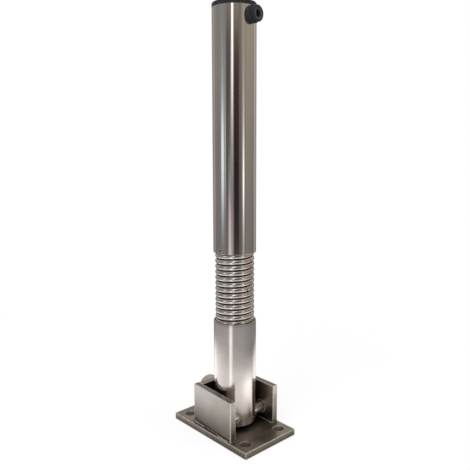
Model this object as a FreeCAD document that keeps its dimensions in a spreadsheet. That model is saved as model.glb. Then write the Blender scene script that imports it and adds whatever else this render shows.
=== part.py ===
import FreeCAD, Part
import Sketcher
import math
import operator
import os

# Fold-down bollard: a welded foot bracket, a short lower tube that hinges in it, a heavy coil
# spring, and an upper tube with a key lock that draws a latch bolt in the lower tube by a cable.
# Row frame: +Z up along the standing post, +X the way the post folds down, origin at the middle
# of the base plate's underside. All sizes are in millimetres and degrees.

Vector = FreeCAD.Vector
doc = FreeCAD.newDocument("fold_down_bollard")
sheet = doc.addObject("Spreadsheet::Sheet", "dims")

SIGNS = {"+": operator.add, "-": operator.sub, "*": operator.mul, "/": operator.truediv}


# A size knows its number and the spreadsheet formula that gives it.
class Size:
    def __init__(self, value, text):
        self.value = value
        self.text = text

    def __add__(self, other):
        return joined(self, "+", other)

    def __radd__(self, other):
        return joined(other, "+", self)

    def __sub__(self, other):
        return joined(self, "-", other)

    def __rsub__(self, other):
        return joined(other, "-", self)

    def __mul__(self, other):
        return joined(self, "*", other)

    def __rmul__(self, other):
        return joined(other, "*", self)

    def __truediv__(self, other):
        return joined(self, "/", other)

    def __neg__(self):
        return joined(-1, "*", self)


def as_size(value):
    return value if isinstance(value, Size) else Size(float(value), repr(float(value)))


def joined(left, sign, right):
    left, right = as_size(left), as_size(right)
    return Size(SIGNS[sign](left.value, right.value), f"({left.text} {sign} {right.text})")


row_count = 0


def cell(alias, value, meaning):
    global row_count
    row_count += 1
    sheet.set(f"A{row_count}", meaning)
    sheet.set(f"B{row_count}", repr(value))
    sheet.setAlias(f"B{row_count}", alias)
    return Size(float(value), f"dims.{alias}")


# Base plate
base_margin_x = cell("base_margin_x", 34.5, "base plate beyond the ends of the side plates")
base_margin_y = cell("base_margin_y", 3.75, "base plate beyond the outer faces of the side plates")
base_thickness = cell("base_thickness", 9, "base plate thickness")
anchor_edge_x = cell("anchor_edge_x", 17, "anchor hole axis from the end of the base plate")
anchor_edge_y = cell("anchor_edge_y", 16, "anchor hole axis from the side of the base plate")
anchor_hole = cell("anchor_hole", 14, "anchor hole diameter")
anchor_bevel = cell("anchor_bevel", 0.9, "bevel at the mouth of an anchor hole")
plate_bevel = cell("plate_bevel", 0.6, "bevel along the cut edges of the plates")

# Bracket
post_x = cell("post_x", 2.5, "post axis ahead of the middle of the base plate")
post_y = cell("post_y", 1.3, "post axis to the side of the middle of the base plate")
side_overhang = cell("side_overhang", 1.5, "side plates behind the rear plate")
side_height = cell("side_height", 56, "side plate height")
side_thickness = cell("side_thickness", 9, "side plate thickness")
side_clear = cell("side_clear", 5.25, "side plate to the side of the lower tube")
left_toe = cell("left_toe", 3.5, "angle by which the left plate stands open at its front")
rear_thickness = cell("rear_thickness", 9, "rear plate thickness")
stop_gap = cell("stop_gap", 2, "gap between the standing post and the rear plate")
weld_leg = cell("weld_leg", 2.4, "leg of the stitch welds")
weld_length = cell("weld_length", 22.5, "length of a stitch weld")
weld_inset = cell("weld_inset", 4.5, "stitch weld from the end of its plate")
corner_weld = cell("corner_weld", 12, "length of the short weld inside the right plate")

# Post tubes
tube_diameter = cell("tube_diameter", 60, "outer diameter of both tubes")
tube_wall = cell("tube_wall", 2, "wall of both tubes")
tube_bevel = cell("tube_bevel", 0.4, "bevel at the outer edges of the tube ends")
heel_gap = cell("heel_gap", 6.2, "lower tube above the base plate")
lower_length = cell("lower_length", 148, "lower tube length")
upper_length = cell("upper_length", 327, "upper tube length")
seat_fit = cell("seat_fit", 0.02, "radial fit of the welded and pressed pieces")
running_fit = cell("running_fit", 0.05, "radial clearance of the turning and sliding pieces")

# Fold pivot
pivot_inset = cell("pivot_inset", 13, "pivot behind the front of the lower tube")
pivot_rise = cell("pivot_rise", 18, "pivot above the base plate")
pin_diameter = cell("pin_diameter", 16, "pivot pin diameter")
pin_seat = cell("pin_seat", 5, "depth of the pin in each side plate")
pin_ring = cell("pin_ring", 1.5, "width and depth of the ring cut round the pin")
sleeve_wall = cell("sleeve_wall", 1.5, "wall of the pivot sleeve")

# Flex spring and its plugs
spring_show = cell("spring_show", 98, "length of spring between the tubes")
spring_seat = cell("spring_seat", 16, "length of spring inside each tube")
spring_gap = cell("spring_gap", 0.5, "radial gap between the flex spring and the tubes")
spring_wire = cell("spring_wire", 7.6, "wire of the flex spring")
spring_pitch = cell("spring_pitch", 7.85, "pitch of the flex spring")
spigot_fit = cell("spigot_fit", 0.1, "radial gap between a spigot and the spring")
spigot_length = cell("spigot_length", 14, "plug spigot length")
flange_thickness = cell("flange_thickness", 7, "plug flange thickness")
plug_bore = cell("plug_bore", 8, "bore of the plugs, for the cable")
spigot_bevel = cell("spigot_bevel", 1, "bevel at the end of a spigot")
grub_diameter = cell("grub_diameter", 5, "set screw diameter")
grub_rise = cell("grub_rise", 4.6, "set screws above the lower edge of the upper tube")
grub_azimuth = cell("grub_azimuth", -84, "direction of the first set screw")
grub_flats = cell("grub_flats", 2.5, "set screw key socket, across flats")
grub_socket = cell("grub_socket", 1.4, "set screw key socket depth")

# Latch in the lower tube
latch_rise = cell("latch_rise", 34, "latch bolt above the base plate")
bolt_diameter = cell("bolt_diameter", 14, "latch bolt diameter")
bolt_length = cell("bolt_length", 22, "latch bolt length")
bolt_throw = cell("bolt_throw", 12, "latch bolt travel for a quarter turn of the key")
bolt_sink = cell("bolt_sink", 0.5, "drawn latch bolt inside the tube surface")
bolt_bevel = cell("bolt_bevel", 1.5, "bevel at the nose of the latch bolt")
ferrule_diameter = cell("ferrule_diameter", 6, "cable ferrule diameter")
ferrule_length = cell("ferrule_length", 6, "cable ferrule length")
ferrule_sink = cell("ferrule_sink", 1, "cable ferrule below the rear face of the bolt")
latch_coil = cell("latch_coil", 9, "latch spring, mean diameter")
latch_wire = cell("latch_wire", 1, "latch spring wire")
latch_room = cell("latch_room", 6, "latch spring length with the bolt drawn")
latch_turns = cell("latch_turns", 3.5, "latch spring turns")
guide_wall = cell("guide_wall", 3, "bolt guide wall")
guide_floor = cell("guide_floor", 2.5, "bolt guide end wall")
strike_gap = cell("strike_gap", 0.75, "radial gap of the bolt in the rear plate")
socket_diameter = cell("socket_diameter", 35, "latch socket diameter")
socket_length = cell("socket_length", 22.5, "latch socket length")
socket_bore = cell("socket_bore", 17, "latch socket bore")
socket_depth = cell("socket_depth", 14, "latch socket bore depth")
socket_round = cell("socket_round", 3, "rounding at the rear of the latch socket")

# Cable and pulley
cable_diameter = cell("cable_diameter", 2.4, "release cable diameter")
cable_hole = cell("cable_hole", 3.6, "holes that the cable runs through")
cable_bend = cell("cable_bend", 60, "bend radius of the cable below the plug")
groove_gap = cell("groove_gap", 0.06, "cable above the floor of its groove")
pulley_radius = cell("pulley_radius", 5, "pulley radius to the middle of the cable")
pulley_rim = cell("pulley_rim", 6.5, "pulley rim radius")
pulley_width = cell("pulley_width", 6, "pulley width")
groove_width = cell("groove_width", 2.7, "cable groove width")
axle_diameter = cell("axle_diameter", 4, "pulley axle diameter")
yoke_sheet = cell("yoke_sheet", 1.5, "yoke sheet thickness")
yoke_gap = cell("yoke_gap", 0.3, "side gap between pulley and yoke")
yoke_height = cell("yoke_height", 14, "yoke height")
rim_gap = cell("rim_gap", 0.8, "pulley rim to the web of the yoke")

# Cap and lock
cap_height = cell("cap_height", 6, "cap above the tube")
cap_round = cell("cap_round", 1.8, "rounding of the cap edge")
cap_skirt = cell("cap_skirt", 12, "depth of the cap in the tube")
cap_wall = cell("cap_wall", 2.5, "wall of the cap skirt")
cap_crown = cell("cap_crown", 3, "thickness of the cap inside its skirt")
cap_clear = cell("cap_clear", 0.3, "gap between the cap skirt and the saddle washer")
lock_azimuth = cell("lock_azimuth", 6, "direction of the lock from the fold direction")
lock_drop = cell("lock_drop", 12.5, "lock axis below the top of the tube")
collar_diameter = cell("collar_diameter", 23, "lock collar diameter")
collar_stand = cell("collar_stand", 6, "collar face beyond the front of the tube")
collar_bevel = cell("collar_bevel", 0.6, "bevel of the collar")
nose_diameter = cell("nose_diameter", 21, "lock nose diameter")
nose_length = cell("nose_length", 6, "nose face beyond the collar face")
nose_bevel = cell("nose_bevel", 1, "bevel of the nose")
neck_diameter = cell("neck_diameter", 12, "lock neck diameter")
neck_depth = cell("neck_depth", 14, "inner end of the neck inside the tube surface")
core_diameter = cell("core_diameter", 16, "key core head diameter")
core_seat = cell("core_seat", 1.6, "inner face of the core head beyond the front of the tube")
core_sink = cell("core_sink", 0.6, "core head inside the nose face")
shaft_diameter = cell("shaft_diameter", 8, "key core shaft diameter")
key_flats = cell("key_flats", 10, "key socket, across flats")
key_depth = cell("key_depth", 6, "key socket depth")
washer_diameter = cell("washer_diameter", 20, "saddle washer diameter")
washer_depth = cell("washer_depth", 4, "flat face of the saddle washer inside the bore")
nut_flats = cell("nut_flats", 17, "lock nut, across flats")
nut_thickness = cell("nut_thickness", 5, "lock nut thickness")
spindle_diameter = cell("spindle_diameter", 6, "spindle that carries the drum")
drum_width = cell("drum_width", 6, "cable drum width")
drum_rim = cell("drum_rim", 3, "drum rim beyond the middle of the cable")
screw_head = cell("screw_head", 9, "drum screw head diameter")
screw_head_height = cell("screw_head_height", 2.8, "drum screw head height")
screw_shank = cell("screw_shank", 4, "drum screw shank diameter")
screw_length = cell("screw_length", 8, "drum screw shank length")
nipple_diameter = cell("nipple_diameter", 4.4, "cable nipple diameter")
nipple_angle = cell("nipple_angle", 70, "place of the nipple on the drum, from the level")

# Places that follow from the sizes
tube_radius = tube_diameter / 2
tube_bore = tube_radius - tube_wall
side_length = 2 * (tube_radius + stop_gap + rear_thickness + side_overhang)
side_gap = tube_diameter + 2 * side_clear
base_length = side_length + 2 * base_margin_x
base_width = side_gap + 2 * side_thickness + 2 * base_margin_y
anchor_x = base_length / 2 - anchor_edge_x
anchor_y = base_width / 2 - anchor_edge_y
lower_bottom = base_thickness + heel_gap
lower_top = lower_bottom + lower_length
upper_bottom = lower_top + spring_show
upper_top = upper_bottom + upper_length
pivot_forward = tube_radius - pivot_inset
pivot_z = base_thickness + pivot_rise
pin_radius = pin_diameter / 2
pin_half = side_gap / 2 + pin_seat
sleeve_radius = pin_radius + running_fit + sleeve_wall
spring_bottom = lower_top - spring_seat
spring_top = upper_bottom + spring_seat
spring_radius = tube_bore - spring_gap
spring_mean = spring_radius - spring_wire / 2
spigot_radius = spring_radius - spring_wire - spigot_fit
latch_z = base_thickness + latch_rise
bolt_radius = bolt_diameter / 2
bolt_tip = -tube_radius + bolt_sink
bolt_rear = bolt_tip + bolt_length
guide_seat = bolt_rear + latch_room
guide_end = guide_seat + guide_floor
guide_radius = bolt_radius + guide_wall
pulley_x = guide_end + yoke_sheet + rim_gap + pulley_rim
pulley_z = latch_z + pulley_radius
rear_front = -tube_radius - stop_gap
rear_back = rear_front - rear_thickness
drum_radius = bolt_throw * (2 / math.pi)
groove_floor = drum_radius - cable_diameter / 2 - groove_gap
lock_z = upper_top - lock_drop
collar_radius = collar_diameter / 2
nose_radius = nose_diameter / 2
collar_reach = tube_radius + collar_stand
nose_reach = collar_reach + nose_length
neck_reach = tube_radius - neck_depth
core_floor = tube_radius + core_seat
washer_face = tube_bore - washer_depth
neck_radius = neck_diameter / 2
core_radius = core_diameter / 2
shaft_radius = shaft_diameter / 2
spindle_radius = spindle_diameter / 2
drum_half = drum_width / 2
screw_radius = screw_shank / 2
hexagon = 1 / math.cos(math.pi / 6)
overcut = 2


# A place given from the post axis, at a height above the ground
def by_post(along, across, height):
    return (post_x + along, post_y + across, height)


# Helpers
def bind(item, prop, value):
    item.setExpression(prop, as_size(value).text)


def put(item, place, turn=None, about=Vector(0, 0, 1)):
    angle = as_size(turn if turn is not None else 0)
    spot = [as_size(value) for value in place]
    base = Vector(*[value.value for value in spot])
    item.Placement = FreeCAD.Placement(base, FreeCAD.Rotation(about, angle.value))
    for letter, value in zip("xyz", spot):
        bind(item, f"Placement.Base.{letter}", value)
    if isinstance(turn, Size):
        item.setExpression("Placement.Rotation.Angle", f"{angle.text} * 1 deg")
    return item


def origin_plane(body, role):
    return next(plane for plane in body.Origin.OriginFeatures if plane.Role == role)


def draw(body, role, corners, lift=0):
    sketch = body.newObject("Sketcher::SketchObject", f"{body.Name}_outline")
    sketch.AttachmentSupport = [(origin_plane(body, role), "")]
    sketch.MapMode = "FlatFace"
    bind(sketch, "AttachmentOffset.Base.z", lift)
    spots = [(as_size(x), as_size(y)) for x, y in corners]
    points = [Vector(x.value, y.value, 0) for x, y in spots]
    count = len(points)
    for index in range(count):
        sketch.addGeometry(Part.LineSegment(points[index], points[(index + 1) % count]))
    for index in range(count):
        sketch.addConstraint(Sketcher.Constraint("Coincident", index, 2, (index + 1) % count, 1))
    for index, (x, y) in enumerate(spots):
        across = sketch.addConstraint(Sketcher.Constraint("DistanceX", index, 1, x.value))
        sketch.setExpression(f"Constraints[{across}]", x.text)
        along = sketch.addConstraint(Sketcher.Constraint("DistanceY", index, 1, y.value))
        sketch.setExpression(f"Constraints[{along}]", y.text)
    sketch.Visibility = False
    return sketch


# A turned piece: corners are (along the axis, radius), and the axis is the body's own x, y or z.
def turned(name, axis, corners):
    body = doc.addObject("PartDesign::Body", name)
    if axis == "x":
        sketch = draw(body, "XY_Plane", corners)
    else:
        role = "XZ_Plane" if axis == "z" else "XY_Plane"
        sketch = draw(body, role, [(radius, along) for along, radius in corners])
    feature = body.newObject("PartDesign::Revolution", f"{name}_turning")
    feature.Profile = sketch
    feature.ReferenceAxis = (sketch, ["H_Axis" if axis == "x" else "V_Axis"])
    feature.Angle = 360
    body.Tip = feature
    return body


def extruded(name, corners, lift, height, role="XY_Plane"):
    body = doc.addObject("PartDesign::Body", name)
    sketch = draw(body, role, corners, lift)
    feature = body.newObject("PartDesign::Pad", f"{name}_pad")
    feature.Profile = sketch
    bind(feature, "Length", height)
    body.Tip = feature
    return body


def dressed(body, kind, width, chosen):
    doc.recompute()
    base = body.Tip
    edges = [f"Edge{n}" for n, edge in enumerate(base.Shape.Edges, 1) if chosen(edge)]
    feature = body.newObject(f"PartDesign::{kind}", f"{body.Name}_{kind.lower()}")
    feature.Base = (base, edges)
    bind(feature, "Size" if kind == "Chamfer" else "Radius", width)
    body.Tip = feature
    return body


def rod(name, radius, length, place, along="z", turn=None):
    item = doc.addObject("Part::Cylinder", name)
    bind(item, "Radius", radius)
    bind(item, "Height", length)
    if along == "z":
        return put(item, place, turn)
    about = Vector(0, 1, 0) if along == "x" else Vector(-1, 0, 0)
    return put(item, place, 90, about)


def box(name, length, width, height, place):
    item = doc.addObject("Part::Box", name)
    bind(item, "Length", length)
    bind(item, "Width", width)
    bind(item, "Height", height)
    return put(item, place)


def cut(name, base, tool):
    item = doc.addObject("Part::Cut", name)
    item.Base = base
    item.Tool = tool
    return item


def common(name, base, tool):
    item = doc.addObject("Part::Common", name)
    item.Base = base
    item.Tool = tool
    return item


def fused(name, items):
    item = doc.addObject("Part::MultiFuse", name)
    item.Shapes = items
    return item


def grouped(name, items):
    item = doc.addObject("Part::Compound", name)
    item.Links = items
    return item


# A coil spring along z with its ends ground flat
def coiled(name, mean_radius, wire, pitch, length):
    sink = wire / 4
    spine = doc.addObject("Part::Helix", f"{name}_spine")
    bind(spine, "Pitch", pitch)
    bind(spine, "Height", length - 2 * sink)
    bind(spine, "Radius", mean_radius)
    section = doc.addObject("Part::Circle", f"{name}_section")
    bind(section, "Radius", wire / 2)
    put(section, (mean_radius, 0, 0), 90, Vector(1, 0, 0))
    doc.recompute()
    item = doc.addObject("Part::Sweep", f"{name}_sweep")
    item.Sections = [section]
    item.Spine = (spine, [f"Edge{n}" for n in range(1, len(spine.Shape.Edges) + 1)])
    item.Solid = True
    item.Frenet = True
    put(item, (0, 0, sink))
    return common(f"{name}_ground", item, rod(f"{name}_trim", mean_radius + wire, length, (0, 0, 0)))


nodes = {}


def node(name, item):
    item.Label = name
    nodes[name] = item
    return item


def is_upright(edge):
    return abs(edge.tangentAt(edge.FirstParameter).z) > 0.9


def lies_at(edge, height):
    return abs(edge.BoundBox.ZMin - height) < 0.01 and abs(edge.BoundBox.ZMax - height) < 0.01


# Base plate with four bevelled anchor holes
def make_base_plate():
    half_x, half_y = base_length / 2, base_width / 2
    corners = [(-half_x, -half_y), (half_x, -half_y), (half_x, half_y), (-half_x, half_y)]
    plate = extruded("base_blank", corners, 0, base_thickness)
    top = base_thickness.value
    dressed(plate, "Chamfer", plate_bevel, lambda edge: is_upright(edge) or lies_at(edge, top))
    radius = anchor_hole / 2
    drill = [(-overcut, 0), (-overcut, radius), (base_thickness - anchor_bevel, radius),
             (base_thickness, radius + anchor_bevel),
             (base_thickness + overcut, radius + anchor_bevel + overcut),
             (base_thickness + overcut, 0)]
    for number, (side_x, side_y) in enumerate(((-1, -1), (1, -1), (1, 1), (-1, 1))):
        tool = turned(f"anchor_drill_{number}", "z", drill)
        put(tool, (anchor_x * side_x, anchor_y * side_y, 0))
        plate = cut(f"base_drilled_{number}", plate, tool)
    node("base_plate", plate)


# A side plate, drawn in its own frame: y is 0 on the face towards the post
def make_side_plate(name, outward, turn):
    half = side_length / 2
    outer = side_thickness * outward
    corners = [(-half, 0), (half, 0), (half, outer), (-half, outer)]
    plate = extruded(f"{name}_blank", corners if outward > 0 else corners[::-1], 0, side_height)
    top = side_height.value
    dressed(plate, "Chamfer", plate_bevel, lambda edge: is_upright(edge) or lies_at(edge, top))
    put(plate, by_post(0, side_gap / 2 * outward, base_thickness), turn)
    reach = pin_half if outward > 0 else -pin_half
    ring = (side_gap / 2 + pin_ring) * outward
    radius = pin_radius + seat_fit
    seat = [(0, 0), (0, radius + pin_ring), (ring, radius + pin_ring), (ring, radius),
            (reach, radius), (reach, 0)]
    tool = put(turned(f"{name}_seat", "y", seat), by_post(pivot_forward, 0, pivot_z))
    node(name, cut(f"{name}_bored", plate, tool))
    return plate


# Rear plate between the side plates: the post's back stop, bored for the latch bolt
def make_rear_plate(left_plate):
    half = side_gap / 2
    reach = half + side_thickness / 2
    corners = [(rear_back, -reach), (rear_front, -reach), (rear_front, half), (rear_back, half)]
    blank = put(extruded("rear_blank", corners, 0, side_height), by_post(0, 0, base_thickness))
    fitted = cut("rear_fitted", blank, left_plate)
    strike = rod("strike_drill", bolt_radius + strike_gap, rear_thickness + 2 * overcut,
                 by_post(rear_back - overcut, 0, latch_z), "x")
    node("rear_plate", cut("rear_bored", fitted, strike))


def make_latch_socket():
    radius, bore = socket_diameter / 2, socket_bore / 2
    profile = [(-socket_length, 0), (-socket_length, radius), (0, radius), (0, bore),
               (-socket_depth, bore), (-socket_depth, 0)]
    body = turned("socket_turned", "x", profile)
    end = -socket_length.value
    dressed(body, "Fillet", socket_round, lambda edge: abs(edge.BoundBox.XMin - end) < 0.01
            and abs(edge.BoundBox.XMax - end) < 0.01 and edge.Length > 1)
    node("latch_socket", put(body, by_post(rear_back, 0, latch_z)))


# A stitch weld is a quarter-round bead in the corner between two plates
def bead(name, length, place, outward, upright):
    item = doc.addObject("Part::Cylinder", name)
    bind(item, "Radius", weld_leg)
    bind(item, "Height", length)
    item.Angle = 90
    item.Placement = FreeCAD.Placement(Vector(), FreeCAD.Rotation(outward, upright, Vector(), "XYZ"))
    for letter, value in zip("xyz", place):
        bind(item, f"Placement.Base.{letter}", value)
    return item


def make_welds():
    up, right, left, back = Vector(0, 0, 1), Vector(0, 1, 0), Vector(0, -1, 0), Vector(-1, 0, 0)
    half = side_length / 2
    front_starts = (half - weld_inset, -half + weld_inset + weld_length)
    left_beads = [bead(f"weld_left_{n}", weld_length, (start, -side_thickness, 0), left, up)
                  for n, start in enumerate(front_starts)]
    left_side = grouped("weld_left_side", left_beads)
    put(left_side, by_post(0, -side_gap / 2, base_thickness), -left_toe)
    outer = side_gap / 2 + side_thickness
    right_beads = [bead(f"weld_right_{n}", weld_length, by_post(start, outer, base_thickness),
                        up, right) for n, start in enumerate(front_starts)]
    foot = bead("weld_rear_foot", weld_length,
                by_post(rear_back, -weld_length / 2, base_thickness), back, up)
    inner = bead("weld_right_inner", corner_weld,
                 by_post(half - plate_bevel, side_gap / 2, base_thickness), left, up)
    node("bracket_welds", grouped("welds", [left_side, *right_beads, foot, inner]))


def make_pivot_pin():
    bevel = plate_bevel
    profile = [(-pin_half, 0), (-pin_half, pin_radius - bevel), (-pin_half + bevel, pin_radius),
               (pin_half - bevel, pin_radius), (pin_half, pin_radius - bevel), (pin_half, 0)]
    node("pivot_pin", put(turned("pin_turned", "y", profile), by_post(pivot_forward, 0, pivot_z)))


def tube(name, bottom, length):
    edge = tube_radius - tube_bevel
    profile = [(0, tube_bore), (0, edge), (tube_bevel, tube_radius),
               (length - tube_bevel, tube_radius), (length, edge), (length, tube_bore)]
    return put(turned(f"{name}_pipe", "z", profile), by_post(0, 0, bottom))


# Lower tube: cross holes for the pivot sleeve, and one in the back wall for the latch bolt
def make_lower_tube():
    pipe = tube("lower", lower_bottom, lower_length)
    span = tube_diameter + 2 * overcut
    cross = rod("lower_cross_drill", sleeve_radius + seat_fit, span,
                by_post(pivot_forward, -span / 2, pivot_z), "y")
    back = rod("lower_bolt_drill", bolt_radius + running_fit, tube_radius + overcut,
               by_post(-tube_radius - overcut, 0, latch_z), "x")
    node("lower_tube", cut("lower_drilled", cut("lower_crossed", pipe, cross), back))


# Pivot sleeve: welded through the lower tube, its ends dressed flush with the tube
def make_pivot_sleeve():
    span = tube_diameter
    place = by_post(pivot_forward, -span / 2, pivot_z)
    outside = rod("sleeve_outside", sleeve_radius, span, place, "y")
    inside = rod("sleeve_inside", pin_radius + running_fit, span, place, "y")
    trim = rod("sleeve_trim", tube_radius, lower_length, by_post(0, 0, lower_bottom))
    node("pivot_sleeve", common("sleeve_trimmed", cut("sleeve_pipe", outside, inside), trim))


def make_plug(name, flange_at, way):
    bore, flange = plug_bore / 2, tube_bore - seat_fit
    tip = spigot_length * way
    profile = [(-flange_thickness * way, bore), (-flange_thickness * way, flange), (0, flange),
               (0, spigot_radius), (tip - spigot_bevel * way, spigot_radius),
               (tip, spigot_radius - spigot_bevel), (tip, bore)]
    node(name, put(turned(f"{name}_turned", "z", profile), by_post(0, 0, flange_at)))


# Flex spring: it stands on the lower plug, and the upper plug sits on it
def make_flex_spring():
    coil = coiled("flex", spring_mean, spring_wire, spring_pitch, spring_top - spring_bottom)
    node("coil_spring", put(grouped("flex_spring", [coil]), by_post(0, 0, spring_bottom)))


def make_upper_tube():
    pipe = tube("upper", upper_bottom, upper_length)
    lock_hole = put(turned("lock_drill", "x", [(0, 0), (0, neck_radius + seat_fit),
                    (tube_radius + overcut, neck_radius + seat_fit), (tube_radius + overcut, 0)]),
                    by_post(0, 0, lock_z), lock_azimuth)
    pipe = cut("upper_lock_hole", pipe, lock_hole)
    for number, angle in enumerate(grub_angles):
        radius = grub_diameter / 2 + seat_fit
        tool = turned(f"grub_drill_{number}", "x", [(tube_bore - overcut, 0),
                      (tube_bore - overcut, radius), (tube_radius + overcut, radius),
                      (tube_radius + overcut, 0)])
        put(tool, by_post(0, 0, grub_z), angle)
        pipe = cut(f"upper_grub_hole_{number}", pipe, tool)
    node("upper_tube", pipe)


grub_count = 3
grub_angles = [grub_azimuth + 360 * n / grub_count for n in range(grub_count)]
grub_z = upper_bottom + grub_rise


# Set screws: they hold the upper tube on the end coils of the spring
def make_set_screws():
    inner = spring_radius + running_fit
    outer = tube_radius - running_fit
    screws = []
    for number, angle in enumerate(grub_angles):
        radius = grub_diameter / 2
        body = turned(f"grub_turned_{number}", "x", [(inner, 0), (inner, radius),
                      (outer, radius), (outer, 0)])
        put(body, by_post(0, 0, grub_z), angle)
        key = doc.addObject("Part::Prism", f"grub_key_{number}")
        key.Polygon = 6
        bind(key, "Circumradius", grub_flats / 2 * hexagon)
        bind(key, "Height", grub_socket + overcut)
        put(key, (outer - grub_socket, 0, 0), 90, Vector(0, 1, 0))
        tool = put(grouped(f"grub_broach_{number}", [key]), by_post(0, 0, grub_z), angle)
        screws.append(cut(f"grub_{number}", body, tool))
    node("set_screws", grouped("grubs", screws))


# Cap: a moulded disc with a rounded edge and a skirt that clears the lock
def make_top_cap():
    skirt = tube_bore - seat_fit
    inside = cap_height - cap_crown
    profile = [(cap_height, 0), (cap_height, tube_radius), (0, tube_radius), (0, skirt),
               (-cap_skirt, skirt), (-cap_skirt, skirt - cap_wall), (inside, skirt - cap_wall),
               (inside, 0)]
    body = turned("cap_moulded", "z", profile)
    top = cap_height.value
    dressed(body, "Fillet", cap_round, lambda edge: lies_at(edge, top) and edge.Length > 1)
    put(body, by_post(0, 0, upper_top))
    clear = washer_diameter / 2 + cap_clear
    notch = put(turned("cap_notch", "x", [(neck_reach, 0), (neck_reach, clear),
                (skirt + seat_fit, clear), (skirt + seat_fit, 0)]),
                by_post(0, 0, lock_z), lock_azimuth)
    node("top_cap", cut("cap_notched", body, notch))


# Lock body: a collar that sits on the tube as a saddle, a round nose and a threaded neck
def make_lock_body():
    outside = [(neck_reach, 0), (neck_reach, collar_radius),
               (collar_reach - collar_bevel, collar_radius),
               (collar_reach, collar_radius - collar_bevel), (collar_reach, nose_radius),
               (nose_reach - nose_bevel, nose_radius),
               (nose_reach, nose_radius - nose_bevel), (nose_reach, 0)]
    solid = put(turned("lock_turned", "x", outside), by_post(0, 0, lock_z), lock_azimuth)
    saddle = rod("lock_saddle_tool", tube_radius + running_fit, collar_diameter * 3,
                 by_post(0, 0, lock_z - collar_diameter * 1.5))
    neck = put(turned("lock_neck", "x", [(neck_reach, 0), (neck_reach, neck_radius),
               (core_floor, neck_radius), (core_floor, 0)]), by_post(0, 0, lock_z), lock_azimuth)
    whole = fused("lock_whole", [cut("lock_saddled", solid, saddle), neck])
    bore, seat = shaft_radius + running_fit, core_radius + running_fit
    tool = put(turned("lock_bore", "x", [(neck_reach - overcut, 0), (neck_reach - overcut, bore),
               (core_floor, bore), (core_floor, seat), (nose_reach + overcut, seat),
               (nose_reach + overcut, 0)]), by_post(0, 0, lock_z), lock_azimuth)
    node("lock_body", cut("lock_bored", whole, tool))


def make_lock_fixing():
    bore = neck_radius + seat_fit
    ring = put(turned("washer_turned", "x", [(washer_face, bore), (washer_face, washer_diameter / 2),
               (tube_radius, washer_diameter / 2), (tube_radius, bore)]),
               by_post(0, 0, lock_z), lock_azimuth)
    shape = rod("washer_trim", tube_bore - seat_fit, collar_diameter * 3,
                by_post(0, 0, lock_z - collar_diameter * 1.5))
    node("saddle_washer", common("washer_trimmed", ring, shape))
    nut = doc.addObject("Part::Prism", "nut_prism")
    nut.Polygon = 6
    bind(nut, "Circumradius", nut_flats / 2 * hexagon)
    bind(nut, "Height", nut_thickness)
    put(nut, (washer_face - nut_thickness, 0, 0), 90, Vector(0, 1, 0))
    drill = rod("nut_drill", bore, nut_thickness + 2 * overcut,
                (washer_face - nut_thickness - overcut, 0, 0), "x")
    bored = cut("nut_bored", nut, drill)
    node("lock_nut", put(grouped("nut_on_neck", [bored]), by_post(0, 0, lock_z), lock_azimuth))


# Key core: a head with a hexagonal key socket, a shaft through the neck and a spindle
def make_key_core():
    head_face, inner = nose_reach - core_sink, core_floor + running_fit
    end_bore = screw_radius + seat_fit
    floor = -drum_half + screw_length
    profile = [(head_face, 0), (head_face, core_radius), (inner, core_radius),
               (inner, shaft_radius), (drum_half + running_fit, shaft_radius),
               (drum_half + running_fit, spindle_radius), (-drum_half, spindle_radius),
               (-drum_half, end_bore), (floor, end_bore), (floor, 0)]
    body = put(turned("core_turned", "x", profile), by_post(0, 0, lock_z), lock_azimuth)
    key = doc.addObject("Part::Prism", "key_prism")
    key.Polygon = 6
    bind(key, "Circumradius", key_flats / 2 * hexagon)
    bind(key, "Height", key_depth + overcut)
    put(key, (head_face - key_depth, 0, 0), 90, Vector(0, 1, 0))
    tool = put(grouped("key_broach", [key]), by_post(0, 0, lock_z), lock_azimuth)
    node("key_core", cut("core_broached", body, tool))


# Cable drum on the spindle, its screw, and the nipple at the end of the cable
def make_drum():
    rim, bore, half_groove = drum_radius + drum_rim, spindle_radius + running_fit, groove_width / 2
    profile = [(-drum_half, bore), (-drum_half, rim), (-half_groove, rim),
               (-half_groove, groove_floor), (half_groove, groove_floor), (half_groove, rim),
               (drum_half, rim), (drum_half, bore)]
    drum = put(turned("drum_turned", "x", profile), by_post(0, 0, lock_z), lock_azimuth)
    angle = math.radians(nipple_angle.value)
    side, rise = drum_radius * math.cos(angle), drum_radius * math.sin(angle)
    radius = nipple_diameter / 2
    pocket = rod("nipple_drill", radius + running_fit, drum_width + overcut,
                 (-drum_half - overcut / 2, side, rise), "x")
    tool = put(grouped("nipple_pocket", [pocket]), by_post(0, 0, lock_z), lock_azimuth)
    node("cable_drum", cut("drum_pocketed", drum, tool))
    pin = rod("nipple_pin", radius, drum_width, (-drum_half, side, rise), "x")
    node("cable_nipple", put(grouped("nipple", [pin]), by_post(0, 0, lock_z), lock_azimuth))
    face = -drum_half - running_fit
    head = screw_head / 2
    screw = turned("screw_turned", "x", [(face - screw_head_height, 0),
                   (face - screw_head_height, head), (face, head), (face, screw_radius),
                   (face + screw_length, screw_radius), (face + screw_length, 0)])
    node("drum_screw", put(screw, by_post(0, 0, lock_z), lock_azimuth))


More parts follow.
